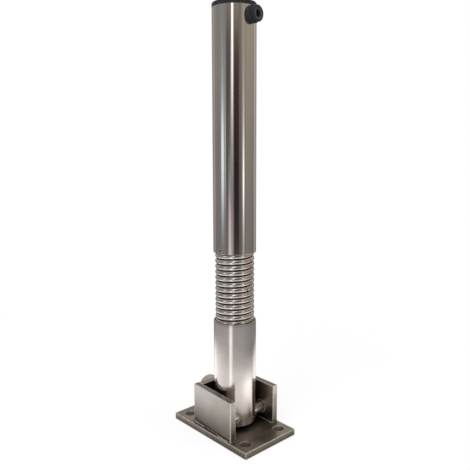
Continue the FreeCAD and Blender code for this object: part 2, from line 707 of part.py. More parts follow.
# Latch bolt, with the ferrule of the cable in its rear end
def make_latch_bolt():
    ferrule = ferrule_diameter / 2
    pocket = bolt_rear - ferrule_sink - ferrule_length
    profile = [(bolt_tip, 0), (bolt_tip, bolt_radius - bolt_bevel),
               (bolt_tip + bolt_bevel, bolt_radius), (bolt_rear, bolt_radius),
               (bolt_rear, ferrule), (pocket, ferrule), (pocket, 0)]
    node("latch_bolt", put(turned("bolt_turned", "x", profile), by_post(0, 0, latch_z)))
    slug = rod("ferrule_slug", ferrule - running_fit, ferrule_length,
               by_post(pocket, 0, latch_z), "x")
    node("cable_ferrule", slug)


# Bolt guide: a cup welded to the back wall of the lower tube
def make_bolt_guide():
    bore, eye = bolt_radius + running_fit, cable_hole / 2
    profile = [(-tube_radius, bore), (-tube_radius, guide_radius), (guide_end, guide_radius),
               (guide_end, eye), (guide_seat, eye), (guide_seat, bore)]
    cup = put(turned("guide_turned", "x", profile), by_post(0, 0, latch_z))
    trim = rod("guide_trim", tube_bore - seat_fit, lower_length, by_post(0, 0, lower_bottom))
    node("bolt_guide", common("guide_trimmed", cup, trim))


# Latch spring: it pushes the bolt out from the end wall of the guide
def make_latch_spring():
    coil = coiled("latch", latch_coil / 2, latch_wire, latch_room / latch_turns, latch_room)
    spring = grouped("latch_coil_spring", [coil])
    node("latch_spring", put(spring, by_post(bolt_rear, 0, latch_z), 90, Vector(0, 1, 0)))


# Pulley between the cheeks of a bent sheet yoke
def make_pulley():
    rim, bore, half = pulley_rim, axle_diameter / 2 + running_fit, pulley_width / 2
    floor, half_groove = pulley_radius - cable_diameter / 2 - groove_gap, groove_width / 2
    profile = [(-half, bore), (-half, rim), (-half_groove, rim), (-half_groove, floor),
               (half_groove, floor), (half_groove, rim), (half, rim), (half, bore)]
    wheel = turned("pulley_turned", "y", profile)
    node("cable_pulley", put(wheel, by_post(pulley_x, 0, pulley_z)))
    inner = pulley_width / 2 + yoke_gap
    outer = inner + yoke_sheet
    axle = rod("axle_rod", axle_diameter / 2, outer * 2,
               by_post(pulley_x, -outer, pulley_z), "y")
    node("pulley_axle", axle)
    length = pulley_x + axle_diameter - guide_end
    lift = latch_z - cable_hole
    block = box("yoke_block", length, outer * 2, yoke_height, by_post(guide_end, -outer, lift))
    gap = box("yoke_slot", length, inner * 2, yoke_height + 2 * overcut,
              by_post(guide_end + yoke_sheet, -inner, lift - overcut))
    eye = rod("yoke_eye", cable_hole / 2, yoke_sheet + 2 * overcut,
              by_post(guide_end - overcut, 0, latch_z), "x")
    seat = rod("yoke_seat", axle_diameter / 2, outer * 2 + 2 * overcut,
               by_post(pulley_x, -outer - overcut, pulley_z), "y")
    bent = cut("yoke_bent", block, gap)
    node("pulley_yoke", cut("yoke_bored", cut("yoke_eyed", bent, eye), seat))


def spot_of(place):
    return Vector(*[as_size(value).value for value in place])


def arc_edge(centre, across, upward, radius, start, end):
    def spot(angle):
        return centre + across * (radius * math.cos(angle)) + upward * (radius * math.sin(angle))
    return Part.Arc(spot(start), spot((start + end) / 2), spot(end)).toShape()


# The straight runs into and out of a bend, cut back for an arc of the given radius
def bend(before, corner, after, radius):
    back, ahead = (before - corner).normalize(), (after - corner).normalize()
    half_turn = (math.pi - back.getAngle(ahead)) / 2
    setback = radius * math.tan(half_turn)
    bisector = (back + ahead).normalize()
    middle = corner + bisector * (radius / math.cos(half_turn) - radius)
    entry, leave = corner + back * setback, corner + ahead * setback
    return entry, leave, Part.Arc(entry, middle, leave).toShape()


# Release cable: from the bolt round the pulley, up the middle of the spring and onto the drum
def make_cable():
    up, forward = Vector(0, 0, 1), Vector(1, 0, 0)
    turn = math.radians(lock_azimuth.value)
    across = Vector(-math.sin(turn), math.cos(turn), 0)
    start = spot_of(by_post(bolt_rear - ferrule_sink, 0, latch_z))
    wheel = spot_of(by_post(pulley_x, 0, pulley_z))
    drum = spot_of(by_post(0, 0, lock_z))
    low = spot_of(by_post(0, 0, spring_bottom - flange_thickness * 2))
    high = spot_of(by_post(0, 0, spring_top + flange_thickness * 2))
    aim = low - wheel
    leave = math.atan2(aim.z, aim.x) - math.acos(pulley_radius.value / aim.Length)
    drop = (drum - high).Length
    meet = math.pi + math.asin(drum_radius.value / drop)
    finish = math.radians(nipple_angle.value)
    finish += math.asin((nipple_diameter / 2).value / drum_radius.value)
    around_pulley = arc_edge(wheel, forward, up, pulley_radius.value, -math.pi / 2, leave)
    around_drum = arc_edge(drum, across, up, drum_radius.value, meet, finish)
    off_pulley = wheel + forward * (pulley_radius.value * math.cos(leave))
    off_pulley += up * (pulley_radius.value * math.sin(leave))
    on_drum = drum + across * (drum_radius.value * math.cos(meet))
    on_drum += up * (drum_radius.value * math.sin(meet))
    low_in, low_out, low_arc = bend(off_pulley, low, high, cable_bend.value)
    high_in, high_out, high_arc = bend(low, high, on_drum, cable_bend.value)
    edges = [Part.makeLine(start, Vector(wheel.x, start.y, start.z)), around_pulley,
             Part.makeLine(off_pulley, low_in), low_arc, Part.makeLine(low_out, high_in),
             high_arc, Part.makeLine(high_out, on_drum), around_drum]
    path = Part.Wire(edges)
    radius = (cable_diameter / 2).value
    section = Part.Wire([Part.makeCircle(radius, start, forward)])
    cable = doc.addObject("Part::Feature", "cable_swept")
    cable.Shape = path.makePipeShell([section], True, False)
    node("pull_cable", cable)
    ideal = path.Length * math.pi * radius ** 2
    print(f"cable length {path.Length:.1f}, volume {cable.Shape.Volume:.1f} of {ideal:.1f}")


make_base_plate()
left_blank = make_side_plate("side_plate_left", -1, -left_toe)
make_side_plate("side_plate_right", 1, None)
make_rear_plate(left_blank)
make_latch_socket()
make_welds()
make_pivot_pin()
make_lower_tube()
make_pivot_sleeve()
make_plug("spring_plug_lower", spring_bottom, 1)
make_plug("spring_plug_upper", spring_top, -1)
make_flex_spring()
make_upper_tube()
make_set_screws()
make_top_cap()
make_lock_body()
make_lock_fixing()
make_key_core()
make_drum()
make_latch_bolt()
make_bolt_guide()
make_latch_spring()
make_pulley()
make_cable()
doc.recompute()

failed = [item.Label for item in doc.Objects
          if any(state in ("Invalid", "Error") for state in item.State)]
if failed:
    raise RuntimeError("failed objects: " + ", ".join(failed))
for name, item in nodes.items():
    if item.Shape.isNull() or not item.Shape.isValid():
        raise RuntimeError(name + " has no valid shape")

os.makedirs("parts", exist_ok=True)
for name, item in nodes.items():
    item.Shape.exportStep(os.path.join("parts", name + ".step"))
    print(f"{name}: {len(item.Shape.Solids)} solid(s), {item.Shape.Volume:.1f} mm3")
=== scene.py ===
import math

import bmesh
import bpy
from mathutils import Matrix, Vector


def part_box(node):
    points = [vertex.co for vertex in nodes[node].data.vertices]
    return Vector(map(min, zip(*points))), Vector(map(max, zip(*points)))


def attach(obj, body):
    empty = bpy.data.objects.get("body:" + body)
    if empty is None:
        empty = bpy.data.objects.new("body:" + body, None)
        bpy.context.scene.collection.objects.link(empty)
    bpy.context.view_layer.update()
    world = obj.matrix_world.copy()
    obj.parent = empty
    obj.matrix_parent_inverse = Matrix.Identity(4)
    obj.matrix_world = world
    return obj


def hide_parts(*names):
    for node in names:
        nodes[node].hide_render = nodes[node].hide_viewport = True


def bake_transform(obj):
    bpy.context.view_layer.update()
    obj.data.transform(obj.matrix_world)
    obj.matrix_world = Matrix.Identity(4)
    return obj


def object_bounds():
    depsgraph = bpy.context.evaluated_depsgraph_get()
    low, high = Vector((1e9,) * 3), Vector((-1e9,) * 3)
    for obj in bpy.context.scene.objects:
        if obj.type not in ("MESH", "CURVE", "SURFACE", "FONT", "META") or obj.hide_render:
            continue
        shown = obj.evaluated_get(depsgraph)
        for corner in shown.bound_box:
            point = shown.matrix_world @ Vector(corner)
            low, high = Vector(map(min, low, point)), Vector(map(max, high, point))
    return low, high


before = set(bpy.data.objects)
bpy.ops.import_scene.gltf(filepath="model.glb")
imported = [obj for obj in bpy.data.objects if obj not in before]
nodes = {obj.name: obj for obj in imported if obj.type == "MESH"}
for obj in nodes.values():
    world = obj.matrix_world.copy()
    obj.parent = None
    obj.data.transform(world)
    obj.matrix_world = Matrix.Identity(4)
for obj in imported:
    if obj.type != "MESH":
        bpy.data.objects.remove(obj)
cadLow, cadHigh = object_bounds()
scene = bpy.context.scene
scene.view_settings.view_transform = "Standard"

# The post's own measures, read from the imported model
tubeLow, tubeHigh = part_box("upper_tube")
springLow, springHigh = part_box("coil_spring")
plateLow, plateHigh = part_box("base_plate")
post = Vector(((tubeLow.x + tubeHigh.x) / 2, (tubeLow.y + tubeHigh.y) / 2, 0))
tubeRadius = (tubeHigh.y - tubeLow.y) / 2
print("frame: post axis at", tuple(round(v, 4) for v in post), "tube radius", round(tubeRadius, 4))


# Camera, as it stood for the photograph
cameraView = {
    "eye": (0.5702, -0.5173, 0.4116),
    "heading": 47.55,  # degrees round from the side of the post
    "tiltDown": 7.77,
    "roll": -0.13,
    "focalLength": 42.76,
    "shiftDown": 0.034,
}


def aimedFrame(view):
    heading, tilt, roll = (math.radians(view[key]) for key in ("heading", "tiltDown", "roll"))
    level = Vector((-math.sin(heading), math.cos(heading), 0))
    side = Vector((math.cos(heading), math.sin(heading), 0))
    up = Vector((0, 0, 1))
    ahead = level * math.cos(tilt) - up * math.sin(tilt)
    above = up * math.cos(tilt) + level * math.sin(tilt)
    right = side * math.cos(roll) + above * math.sin(roll)
    upright = above * math.cos(roll) - side * math.sin(roll)
    return right, upright, ahead


def placeCamera(view):
    lens = bpy.data.cameras.new("photoCamera")
    lens.sensor_width = 36
    lens.lens = view["focalLength"]
    lens.shift_y = -view["shiftDown"]
    lens.clip_start = 0.01
    camera = bpy.data.objects.new("photoCamera", lens)
    scene.collection.objects.link(camera)
    right, upright, ahead = aimedFrame(view)
    turn = Matrix((right, upright, -ahead)).transposed().to_4x4()
    camera.matrix_world = Matrix.Translation(view["eye"]) @ turn
    scene.camera = camera
    return camera


camera = placeCamera(cameraView)
towardsCamera = math.atan2(camera.location.y - post.y, camera.location.x - post.x)
print("camera placed")


def newMaterial(name):
    material = bpy.data.materials.new(name)
    material.use_nodes = True
    tree = material.node_tree
    return material, tree.nodes, tree.links, tree.nodes["Principled BSDF"]


def newPiece(name, vertices, faces, smooth=True):
    mesh = bpy.data.meshes.new(name)
    mesh.from_pydata(vertices, [], faces)
    mesh.update()
    for face in mesh.polygons:
        face.use_smooth = smooth
    item = bpy.data.objects.new(name, mesh)
    scene.collection.objects.link(item)
    return item


# Rays that look for the background: the camera's, and those in metal or glass
def seenRays(shaderNodes, links):
    path = shaderNodes.new("ShaderNodeLightPath")
    first = shaderNodes.new("ShaderNodeMath")
    first.operation = "MAXIMUM"
    second = shaderNodes.new("ShaderNodeMath")
    second.operation = "MAXIMUM"
    links.new(path.outputs["Is Camera Ray"], first.inputs[0])
    links.new(path.outputs["Is Glossy Ray"], first.inputs[1])
    links.new(first.outputs[0], second.inputs[0])
    links.new(path.outputs["Is Transmission Ray"], second.inputs[1])
    return second.outputs[0]


studio = {
    "floorHalf": 6.0,
    "floorTone": (0.95, 0.95, 0.95),
    "floorRough": 0.9,
    "whiteNear": 0.85,  # share of plain white beside the post; the rest keeps the shadow
    "whiteFrom": 0.16,
    "whiteAt": 0.75,  # from here on the floor is plain white
    "ambient": 0.72,
    "ambientTone": (1, 0.99, 0.98),
    "keyPower": 27.0,
    "keyPlace": (0.35, -1.5, 1.9),
    "keySize": 1.1,
    "fillPower": 10.0,
    "fillPlace": (1.5, 1.0, 1.3),
    "fillSize": 1.0,
}


def makeWorld():
    world = bpy.data.worlds.new("whiteStudio")
    scene.world = world
    world.use_nodes = True
    shaderNodes, links = world.node_tree.nodes, world.node_tree.links
    shaderNodes.clear()
    output = shaderNodes.new("ShaderNodeOutputWorld")
    mix = shaderNodes.new("ShaderNodeMixShader")
    ambient = shaderNodes.new("ShaderNodeBackground")
    ambient.inputs["Color"].default_value = (*studio["ambientTone"], 1)
    ambient.inputs["Strength"].default_value = studio["ambient"]
    white = shaderNodes.new("ShaderNodeBackground")
    white.inputs["Color"].default_value = (1, 1, 1, 1)
    white.inputs["Strength"].default_value = 1
    links.new(seenRays(shaderNodes, links), mix.inputs[0])
    links.new(ambient.outputs[0], mix.inputs[1])
    links.new(white.outputs[0], mix.inputs[2])
    links.new(mix.outputs[0], output.inputs["Surface"])


# White paper: plain white away from the post, and near it the shadow stays
def makeFloor():
    half = studio["floorHalf"]
    corners = [(-half, -half, 0), (half, -half, 0), (half, half, 0), (-half, half, 0)]
    floor = newPiece("studioFloor", corners, [(0, 1, 2, 3)], False)
    material, shaderNodes, links, shader = newMaterial("whitePaper")
    shader.inputs["Base Color"].default_value = (*studio["floorTone"], 1)
    shader.inputs["Roughness"].default_value = studio["floorRough"]
    shader.inputs["Specular IOR Level"].default_value = 0
    glow = shaderNodes.new("ShaderNodeEmission")
    glow.inputs["Strength"].default_value = 1
    place = shaderNodes.new("ShaderNodeTexCoord")
    reach = shaderNodes.new("ShaderNodeVectorMath")
    reach.operation = "LENGTH"
    share = shaderNodes.new("ShaderNodeMapRange")
    share.interpolation_type = "SMOOTHSTEP"
    share.inputs["From Min"].default_value = studio["whiteFrom"]
    share.inputs["From Max"].default_value = studio["whiteAt"]
    share.inputs["To Min"].default_value = studio["whiteNear"]
    share.inputs["To Max"].default_value = 1
    seen = shaderNodes.new("ShaderNodeMath")
    seen.operation = "MULTIPLY"
    mix = shaderNodes.new("ShaderNodeMixShader")
    links.new(place.outputs["Object"], reach.inputs[0])
    links.new(reach.outputs["Value"], share.inputs["Value"])
    links.new(share.outputs[0], seen.inputs[0])
    links.new(seenRays(shaderNodes, links), seen.inputs[1])
    links.new(seen.outputs[0], mix.inputs[0])
    links.new(shader.outputs[0], mix.inputs[1])
    links.new(glow.outputs[0], mix.inputs[2])
    links.new(mix.outputs[0], shaderNodes["Material Output"].inputs["Surface"])
    floor.data.materials.append(material)


def makeLamp(name, place, size, power):
    lamp = bpy.data.lights.new(name, "AREA")
    lamp.shape = "DISK"
    lamp.size = size
    lamp.energy = power
    holder = bpy.data.objects.new(name, lamp)
    scene.collection.objects.link(holder)
    holder.location = place
    aim = Vector((post.x, post.y, cadHigh.z / 3)) - holder.location
    holder.rotation_euler = aim.to_track_quat("-Z", "Y").to_euler()
    holder.visible_glossy = False
    holder.visible_camera = False


# What the steel reflects: a round wall of soft bands and the ground inside it, seen only in
# gloss. Headings are degrees to the right of the camera as seen from the post, heights and
# distances are metres. A band's tones are (height, colour, cover).
surround = {
    "reach": 0.9,
    "height": 1.8,
    "headingStep": 1.5,
    "heightSteps": 60,
    "groundSteps": 50,
    "groundFrom": 0.03,
    "groundSpread": 1.3,  # above 1 its rings lie closer together near the post
    "groundLift": 0.0008,  # over the floor
    "brightest": 4,  # the tones are kept as shares of this
    "ceiling": (0.62, 0.6, 0.58),
    "ceilingRings": (0.001, 0.3, 0.6),
    "wallTopFrom": 0.8,
    "bandTopFrom": 1.0,  # a band's second heading and half width hold from here up
    "wall": {  # heading: tone at the foot, tone at the top
        -180: ((0.42, 0.4, 0.39), (0.5, 0.48, 0.46)),
        -110: ((0.23, 0.215, 0.21), (0.38, 0.35, 0.33)),
        -60: ((0.25, 0.24, 0.235), (0.34, 0.33, 0.31)),
        0: ((0.27, 0.255, 0.245), (0.36, 0.32, 0.28)),
        60: ((0.265, 0.243, 0.225), (0.485, 0.42, 0.335)),
        110: ((0.255, 0.233, 0.215), (0.515, 0.44, 0.345)),
        180: ((0.42, 0.4, 0.39), (0.5, 0.48, 0.46)),
    },
    "bands": {
        "darkLeft": {
            "heading": (-42, -24), "half": (6.5, 14.5), "soft": 5,
            "tones": [(0.0, (0.2, 0.18, 0.17), 0.0), (0.14, (0.18, 0.17, 0.17), 0.6),
                      (0.28, (0.15, 0.14, 0.14), 1.0), (0.69, (0.13, 0.105, 0.11), 1.0),
                      (0.78, (0.3, 0.27, 0.26), 0.9), (1.1, (0.3, 0.27, 0.26), 0.4)],
        },
        "dimRight": {
            "heading": (28, 27), "half": (9, 9), "soft": 9,
            "tones": [(0.0, (0.15, 0.13, 0.12), 0.8), (0.5, (0.17, 0.145, 0.125), 0.8),
                      (1.2, (0.24, 0.2, 0.17), 0.4)],
        },
        "darkRight": {
            "heading": (9.5, 9.5), "half": (13.5, 13.5), "soft": 5,
            "tones": [(0.0, (0.09, 0.075, 0.07), 0.8), (0.1, (0.06, 0.046, 0.048), 1.0),
                      (0.3, (0.034, 0.024, 0.026), 1.0), (0.6, (0.068, 0.046, 0.043), 1.0),
                      (0.69, (0.128, 0.096, 0.086), 1.0), (0.745, (0.27, 0.23, 0.2), 1.0),
                      (0.8, (0.37, 0.325, 0.28), 1.0), (1.2, (0.37, 0.33, 0.29), 0.3)],
        },
        "stripLamp": {
            "heading": (-13.5, -8.5), "half": (5.2, 4.6), "soft": 4,
            "tones": [(0.0, (0.6, 0.54, 0.55), 1.0), (0.14, (0.5, 0.44, 0.45), 1.0),
                      (0.27, (0.3, 0.27, 0.27), 1.0), (0.38, (0.5, 0.46, 0.46), 1.0),
                      (0.46, (0.8, 0.74, 0.74), 1.0), (0.6, (1.6, 1.49, 1.49), 1.0),
                      (0.75, (2.2, 2.1, 2.1), 1.0), (1.6, (2.2, 2.1, 2.1), 1.0)],
        },
        "stripFoot": {
            "heading": (-25, -25), "half": (7, 4.5), "soft": 5,
            "tones": [(0.0, (1.0, 0.9, 0.92), 1.0), (0.18, (0.86, 0.77, 0.79), 1.0),
                      (0.28, (0.5, 0.45, 0.45), 0.9), (0.42, (0.24, 0.22, 0.22), 0.6),
                      (0.52, (0.2, 0.18, 0.18), 0.0)],
        },
        "highLamp": {
            "heading": (-6, -6), "half": (17, 17), "soft": 16,
            "tones": [(1.0, (1.3, 1.22, 1.2), 0.0), (1.15, (1.5, 1.41, 1.38), 1.0),
                      (1.7, (1.5, 1.41, 1.38), 1.0)],
        },
        "windowLeft": {
            "heading": (-63, -62), "half": (6.5, 6.5), "soft": 7,
            "tones": [(0.06, (0.3, 0.3, 0.3), 0.0), (0.19, (0.62, 0.66, 0.68), 0.85),
                      (0.28, (1.05, 1.15, 1.2), 1.0), (0.36, (1.4, 1.56, 1.62), 1.0),
                      (0.45, (1.2, 1.34, 1.38), 1.0), (0.54, (0.7, 0.74, 0.73), 0.9),
                      (0.64, (0.5, 0.5, 0.48), 0.7), (0.9, (0.4, 0.4, 0.38), 0.3)],
        },
        "windowSill": {
            "heading": (-48, -48), "half": (3.5, 3.5), "soft": 4,
            "tones": [(0.1, (0.24, 0.24, 0.24), 0.0), (0.19, (0.26, 0.26, 0.26), 0.6),
                      (0.28, (0.55, 0.57, 0.57), 1.0), (0.42, (0.7, 0.73, 0.73), 1.0),
                      (0.54, (0.48, 0.49, 0.48), 0.9), (0.75, (0.32, 0.31, 0.3), 0.3)],
        },
        "windowRight": {
            "heading": (47.2, 47.2), "half": (4.3, 4.3), "soft": 4,
            "tones": [(0.0, (0.46, 0.46, 0.46), 0.7), (0.11, (0.56, 0.58, 0.58), 0.85),
                      (0.2, (1.1, 1.18, 1.2), 1.0), (0.28, (1.9, 2.0, 2.05), 1.0),
                      (0.36, (1.7, 1.78, 1.8), 1.0), (0.45, (0.95, 0.96, 0.93), 0.95),
                      (0.62, (0.55, 0.52, 0.48), 0.8), (1.0, (0.45, 0.41, 0.35), 0.3)],
        },
        "doorPost": {
            "heading": (109, 109), "half": (6, 6), "soft": 5,
            "tones": [(0.0, (0.16, 0.15, 0.145), 0.8), (0.4, (0.25, 0.23, 0.22), 0.7),
                      (1.0, (0.4, 0.36, 0.3), 0.3)],
        },
        "rimRight": {
            "heading": (127, 127), "half": (6, 6), "soft": 5,
            "tones": [(0.0, (0.42, 0.4, 0.38), 0.8), (0.3, (0.6, 0.57, 0.54), 0.9),
                      (0.9, (0.6, 0.55, 0.5), 0.8)],
        },
        "rimLeft": {
            "heading": (-126, -126), "half": (6, 6), "soft": 5,
            "tones": [(0.0, (0.4, 0.39, 0.38), 0.8), (0.3, (0.56, 0.54, 0.52), 0.9),
                      (0.9, (0.5, 0.47, 0.44), 0.8)],
        },
    },
    "streaks": 0.1,  # slight unevenness from one heading to the next
    "streakWaves": ((0.9, 0), (0.37, 2), (0.21, 5)),  # pace and start of each of its waves
    # heading: brightness of the paper near the post, where it begins to dim, and to what share
    "ground": {
        -180: (0.35, 0.27, 0.25), -156: (0.6, 0.27, 0.25), -143: (1.45, 0.27, 0.26),
        -126: (1.45, 0.27, 0.27), -105: (1.25, 0.25, 0.34), -77: (1.0, 0.24, 0.44),
        -50: (0.86, 0.24, 0.55), -10: (0.92, 0.2, 0.5), 30: (0.96, 0.2, 0.43),
        60: (1.0, 0.17, 0.38), 100: (1.1, 0.17, 0.27), 126: (1.4, 0.22, 0.2),
        143: (1.4, 0.25, 0.22), 156: (0.6, 0.27, 0.25), 180: (0.35, 0.27, 0.25),
    },
    "groundTone": (1.0, 0.965, 0.935),
    "groundWarm": ((1.0, 0.945, 0.89), 0.12, 0.2),  # tone near the post, and where it fades
    "groundDims": 0.17,  # over this distance
    "groundStreak": {"heading": -21.5, "half": 7, "soft": 13, "tone": 1.45, "from": 0.1},
    "groundPool": {"heading": 72, "half": 46, "distance": 0.18, "width": 0.065, "tone": 1.85},
    "shade": {"width": 0.055, "tone": 0.35},  # close round the base plate the ground is in shade
}


def fade(value, low, high):
    share = min(1, max(0, (value - low) / (high - low)))
    return share * share * (3 - 2 * share)


def between(table, value):
    keys = sorted(table)
    value = min(keys[-1], max(keys[0], value))
    for low, high in zip(keys, keys[1:]):
        if value <= high:
            share = (value - low) / (high - low)
            return table[low], table[high], share
    return table[keys[-1]], table[keys[-1]], 0


def blendTones(first, second, share):
    return [a + (b - a) * share for a, b in zip(first, second)]


def wallTone(heading, height):
    left, right, share = between(surround["wall"], heading)
    rise = min(1, height / surround["wallTopFrom"])
    leftTone, rightTone = blendTones(left[0], left[1], rise), blendTones(right[0], right[1], rise)
    tone = blendTones(leftTone, rightTone, share)
    wave = sum(math.sin(heading * pace + start) for pace, start in surround["streakWaves"])
    tone = [part * (1 + surround["streaks"] * wave / 2) for part in tone]
    for band in surround["bands"].values():
        stops = {stop[0]: stop for stop in band["tones"]}
        low, high, share = between(stops, height)
        colour = blendTones(low[1], high[1], share)
        cover = low[2] + (high[2] - low[2]) * share
        rise = min(1, height / surround["bandTopFrom"])
        middle = band["heading"][0] + (band["heading"][1] - band["heading"][0]) * rise
        half = band["half"][0] + (band["half"][1] - band["half"][0]) * rise
        off = abs(heading - middle)
        cover *= 1 - fade(off, half - band["soft"] / 2, half + band["soft"] / 2)
        tone = blendTones(tone, colour, cover)
    return tone


def groundTone(heading, spot):
    low, high, share = between(surround["ground"], heading)
    level, dimFrom, dimmed = blendTones(low, high, share)
    place = Vector((spot.x, spot.y, 0))
    reach = (place - post).length
    level *= 1 - (1 - dimmed) * fade(reach, dimFrom, dimFrom + surround["groundDims"])
    pool = surround["groundPool"]
    cover = 1 - fade(abs(heading - pool["heading"]), 0, pool["half"])
    cover *= 1 - fade(abs(reach - pool["distance"]), 0, pool["width"])
    level += (pool["tone"] - level) * cover
    streak = surround["groundStreak"]
    cover = 1 - fade(abs(heading - streak["heading"]), streak["half"] - streak["soft"] / 2,
                     streak["half"] + streak["soft"] / 2)
    level += (streak["tone"] - level) * cover * fade(reach, streak["from"], streak["from"] * 1.5)
    gapX = max(plateLow.x - place.x, place.x - plateHigh.x, 0)
    gapY = max(plateLow.y - place.y, place.y - plateHigh.y, 0)
    shade = surround["shade"]
    level *= shade["tone"] + (1 - shade["tone"]) * fade(math.hypot(gapX, gapY), 0, shade["width"])
    warm, warmTo, plainFrom = surround["groundWarm"]
    tint = blendTones(warm, surround["groundTone"], fade(reach, warmTo, plainFrom))
    return [part * level for part in tint]


def glowMaterial(name):
    material, shaderNodes, links, shader = newMaterial(name)
    shaderNodes.remove(shader)
    tone = shaderNodes.new("ShaderNodeAttribute")
    tone.attribute_name = "tone"
    glow = shaderNodes.new("ShaderNodeEmission")
    glow.inputs["Strength"].default_value = surround["brightest"]
    links.new(tone.outputs["Color"], glow.inputs["Color"])
    links.new(glow.outputs[0], shaderNodes["Material Output"].inputs["Surface"])
    return material


# A round sheet, level or upright, whose corners carry the tones that the steel reflects
def makeGlowSheet(name, headings, steps, placeOf, toneOf):
    vertices, tones = [], []
    for heading in headings:
        for step in steps:
            place = placeOf(towardsCamera + math.radians(heading), step)
            vertices.append(place)
            tones.append(toneOf(heading, step, Vector(place)))
    rows, faces = len(steps), []
    for column in range(len(headings) - 1):
        for row in range(rows - 1):
            corner = column * rows + row
            faces.append((corner, corner + rows, corner + rows + 1, corner + 1))
    sheet = newPiece(name, vertices, faces, False)
    layer = sheet.data.color_attributes.new("tone", "FLOAT_COLOR", "POINT")
    for spot, tone in zip(layer.data, tones):
        spot.color = (*[part / surround["brightest"] for part in tone], 1)
    sheet.data.materials.append(glowMaterial(name))
    sheet.visible_camera = False
    sheet.visible_diffuse = False
    sheet.visible_shadow = False
    sheet.visible_transmission = False
    sheet.visible_volume_scatter = False


def onRing(angle, distance, height):
    return post.x + distance * math.cos(angle), post.y + distance * math.sin(angle), height


def makeSurround():
    reach, top, lift = surround["reach"], surround["height"], surround["groundLift"]
    columns = round(360 / surround["headingStep"])
    headings = [-180 + surround["headingStep"] * n for n in range(columns + 1)]
    rows = surround["heightSteps"]
    makeGlowSheet("reflectedWall", headings, [top * n / rows for n in range(rows + 1)],
                  lambda angle, height: onRing(angle, reach, height),
                  lambda heading, height, place: wallTone(heading, height))
    rows, near = surround["groundSteps"], surround["groundFrom"]
    distances = [near + (reach - near) * (n / rows) ** surround["groundSpread"]
                 for n in range(rows + 1)]
    makeGlowSheet("reflectedGround", headings, distances,
                  lambda angle, distance: onRing(angle, distance, lift),
                  lambda heading, distance, place: groundTone(heading, place))
    makeGlowSheet("reflectedCeiling", headings, [*surround["ceilingRings"], reach],
                  lambda angle, distance: onRing(angle, distance, top),
                  lambda heading, distance, place: surround["ceiling"])


makeWorld()
makeFloor()
makeLamp("keyLamp", studio["keyPlace"], studio["keySize"], studio["keyPower"])
makeLamp("fillLamp", studio["fillPlace"], studio["fillSize"], studio["fillPower"])
makeSurround()
print("studio lit")


# Finishes
def noiseTone(shaderNodes, links, scale, stretch, detail, low, high, spread=(0.3, 0.7)):
    place = shaderNodes.new("ShaderNodeTexCoord")
    mapping = shaderNodes.new("ShaderNodeMapping")
    mapping.inputs["Scale"].default_value = stretch
    noise = shaderNodes.new("ShaderNodeTexNoise")
    noise.inputs["Scale"].default_value = scale
    noise.inputs["Detail"].default_value = detail
    links.new(place.outputs["Object"], mapping.inputs["Vector"])
    links.new(mapping.outputs[0], noise.inputs["Vector"])
    return ranged(shaderNodes, links, noise.outputs["Fac"], spread[0], spread[1], low, high)


def ranged(shaderNodes, links, value, fromLow, fromHigh, toLow, toHigh, soft=False):
    spread = shaderNodes.new("ShaderNodeMapRange")
    if soft:
        spread.interpolation_type = "SMOOTHSTEP"
    spread.inputs["From Min"].default_value = fromLow
    spread.inputs["From Max"].default_value = fromHigh
    spread.inputs["To Min"].default_value = toLow
    spread.inputs["To Max"].default_value = toHigh
    links.new(value, spread.inputs["Value"])
    return spread.outputs[0]


def sums(shaderNodes, links, kind, first, second):
    step = shaderNodes.new("ShaderNodeMath")
    step.operation = kind
    step.use_clamp = True
    links.new(first, step.inputs[0])
    if isinstance(second, (int, float)):
        step.inputs[1].default_value = second
    else:
        links.new(second, step.inputs[1])
    return step.outputs[0]


def mixTones(shaderNodes, links, share, first, second):
    mix = shaderNodes.new("ShaderNodeMix")
    mix.data_type = "RGBA"
    for socket, tone in (("A", first), ("B", second)):
        if isinstance(tone, tuple):
            mix.inputs[socket].default_value = (*tone, 1)
        else:
            links.new(tone, mix.inputs[socket])
    links.new(share, mix.inputs["Factor"])
    return mix.outputs["Result"]


# Painted highlight along edges: how far the rounded corner turns from the face, as a cosine, where
# the highlight begins and is full, how fine its patches are and what is left of it between them
edgeHighlightSpread = {"begins": 0.998, "full": 0.93, "samples": 6, "patch": 260, "least": 0.6}


# Painted highlight: 1 along the edges of a piece, broken up in patches, and 0 on its faces
def paintedEdgeHighlight(shaderNodes, links, width, amount):
    rounded = shaderNodes.new("ShaderNodeBevel")
    rounded.samples = edgeHighlightSpread["samples"]
    rounded.inputs["Radius"].default_value = width
    flat = shaderNodes.new("ShaderNodeNewGeometry")
    compare = shaderNodes.new("ShaderNodeVectorMath")
    compare.operation = "DOT_PRODUCT"
    links.new(rounded.outputs[0], compare.inputs[0])
    links.new(flat.outputs["True Normal"], compare.inputs[1])
    edge = ranged(shaderNodes, links, compare.outputs["Value"], edgeHighlightSpread["begins"],
                  edgeHighlightSpread["full"], 0, amount)
    broken = noiseTone(shaderNodes, links, edgeHighlightSpread["patch"], (1, 1, 1), 5, edgeHighlightSpread["least"], 1)
    return sums(shaderNodes, links, "MULTIPLY", edge, broken)


# How far a face looks along one of the object's own axes, from 0 to 1
def facing(shaderNodes, links, axis, low=0.3, high=0.8):
    place = shaderNodes.new("ShaderNodeTexCoord")
    aim = shaderNodes.new("ShaderNodeVectorMath")
    aim.operation = "DOT_PRODUCT"
    aim.inputs[1].default_value = axis
    links.new(place.outputs["Normal"], aim.inputs[0])
    return ranged(shaderNodes, links, aim.outputs["Value"], low, high, 0, 1)


# A share that rises from one place on the object to another
def slope(shaderNodes, links, start, end):
    place = shaderNodes.new("ShaderNodeTexCoord")
    along = shaderNodes.new("ShaderNodeVectorMath")
    along.operation = "DOT_PRODUCT"
    way = Vector(end) - Vector(start)
    along.inputs[1].default_value = way.normalized()
    links.new(place.outputs["Object"], along.inputs[0])
    low = Vector(start).dot(way.normalized())
    return ranged(shaderNodes, links, along.outputs["Value"], low, low + way.length, 0, 1, True)


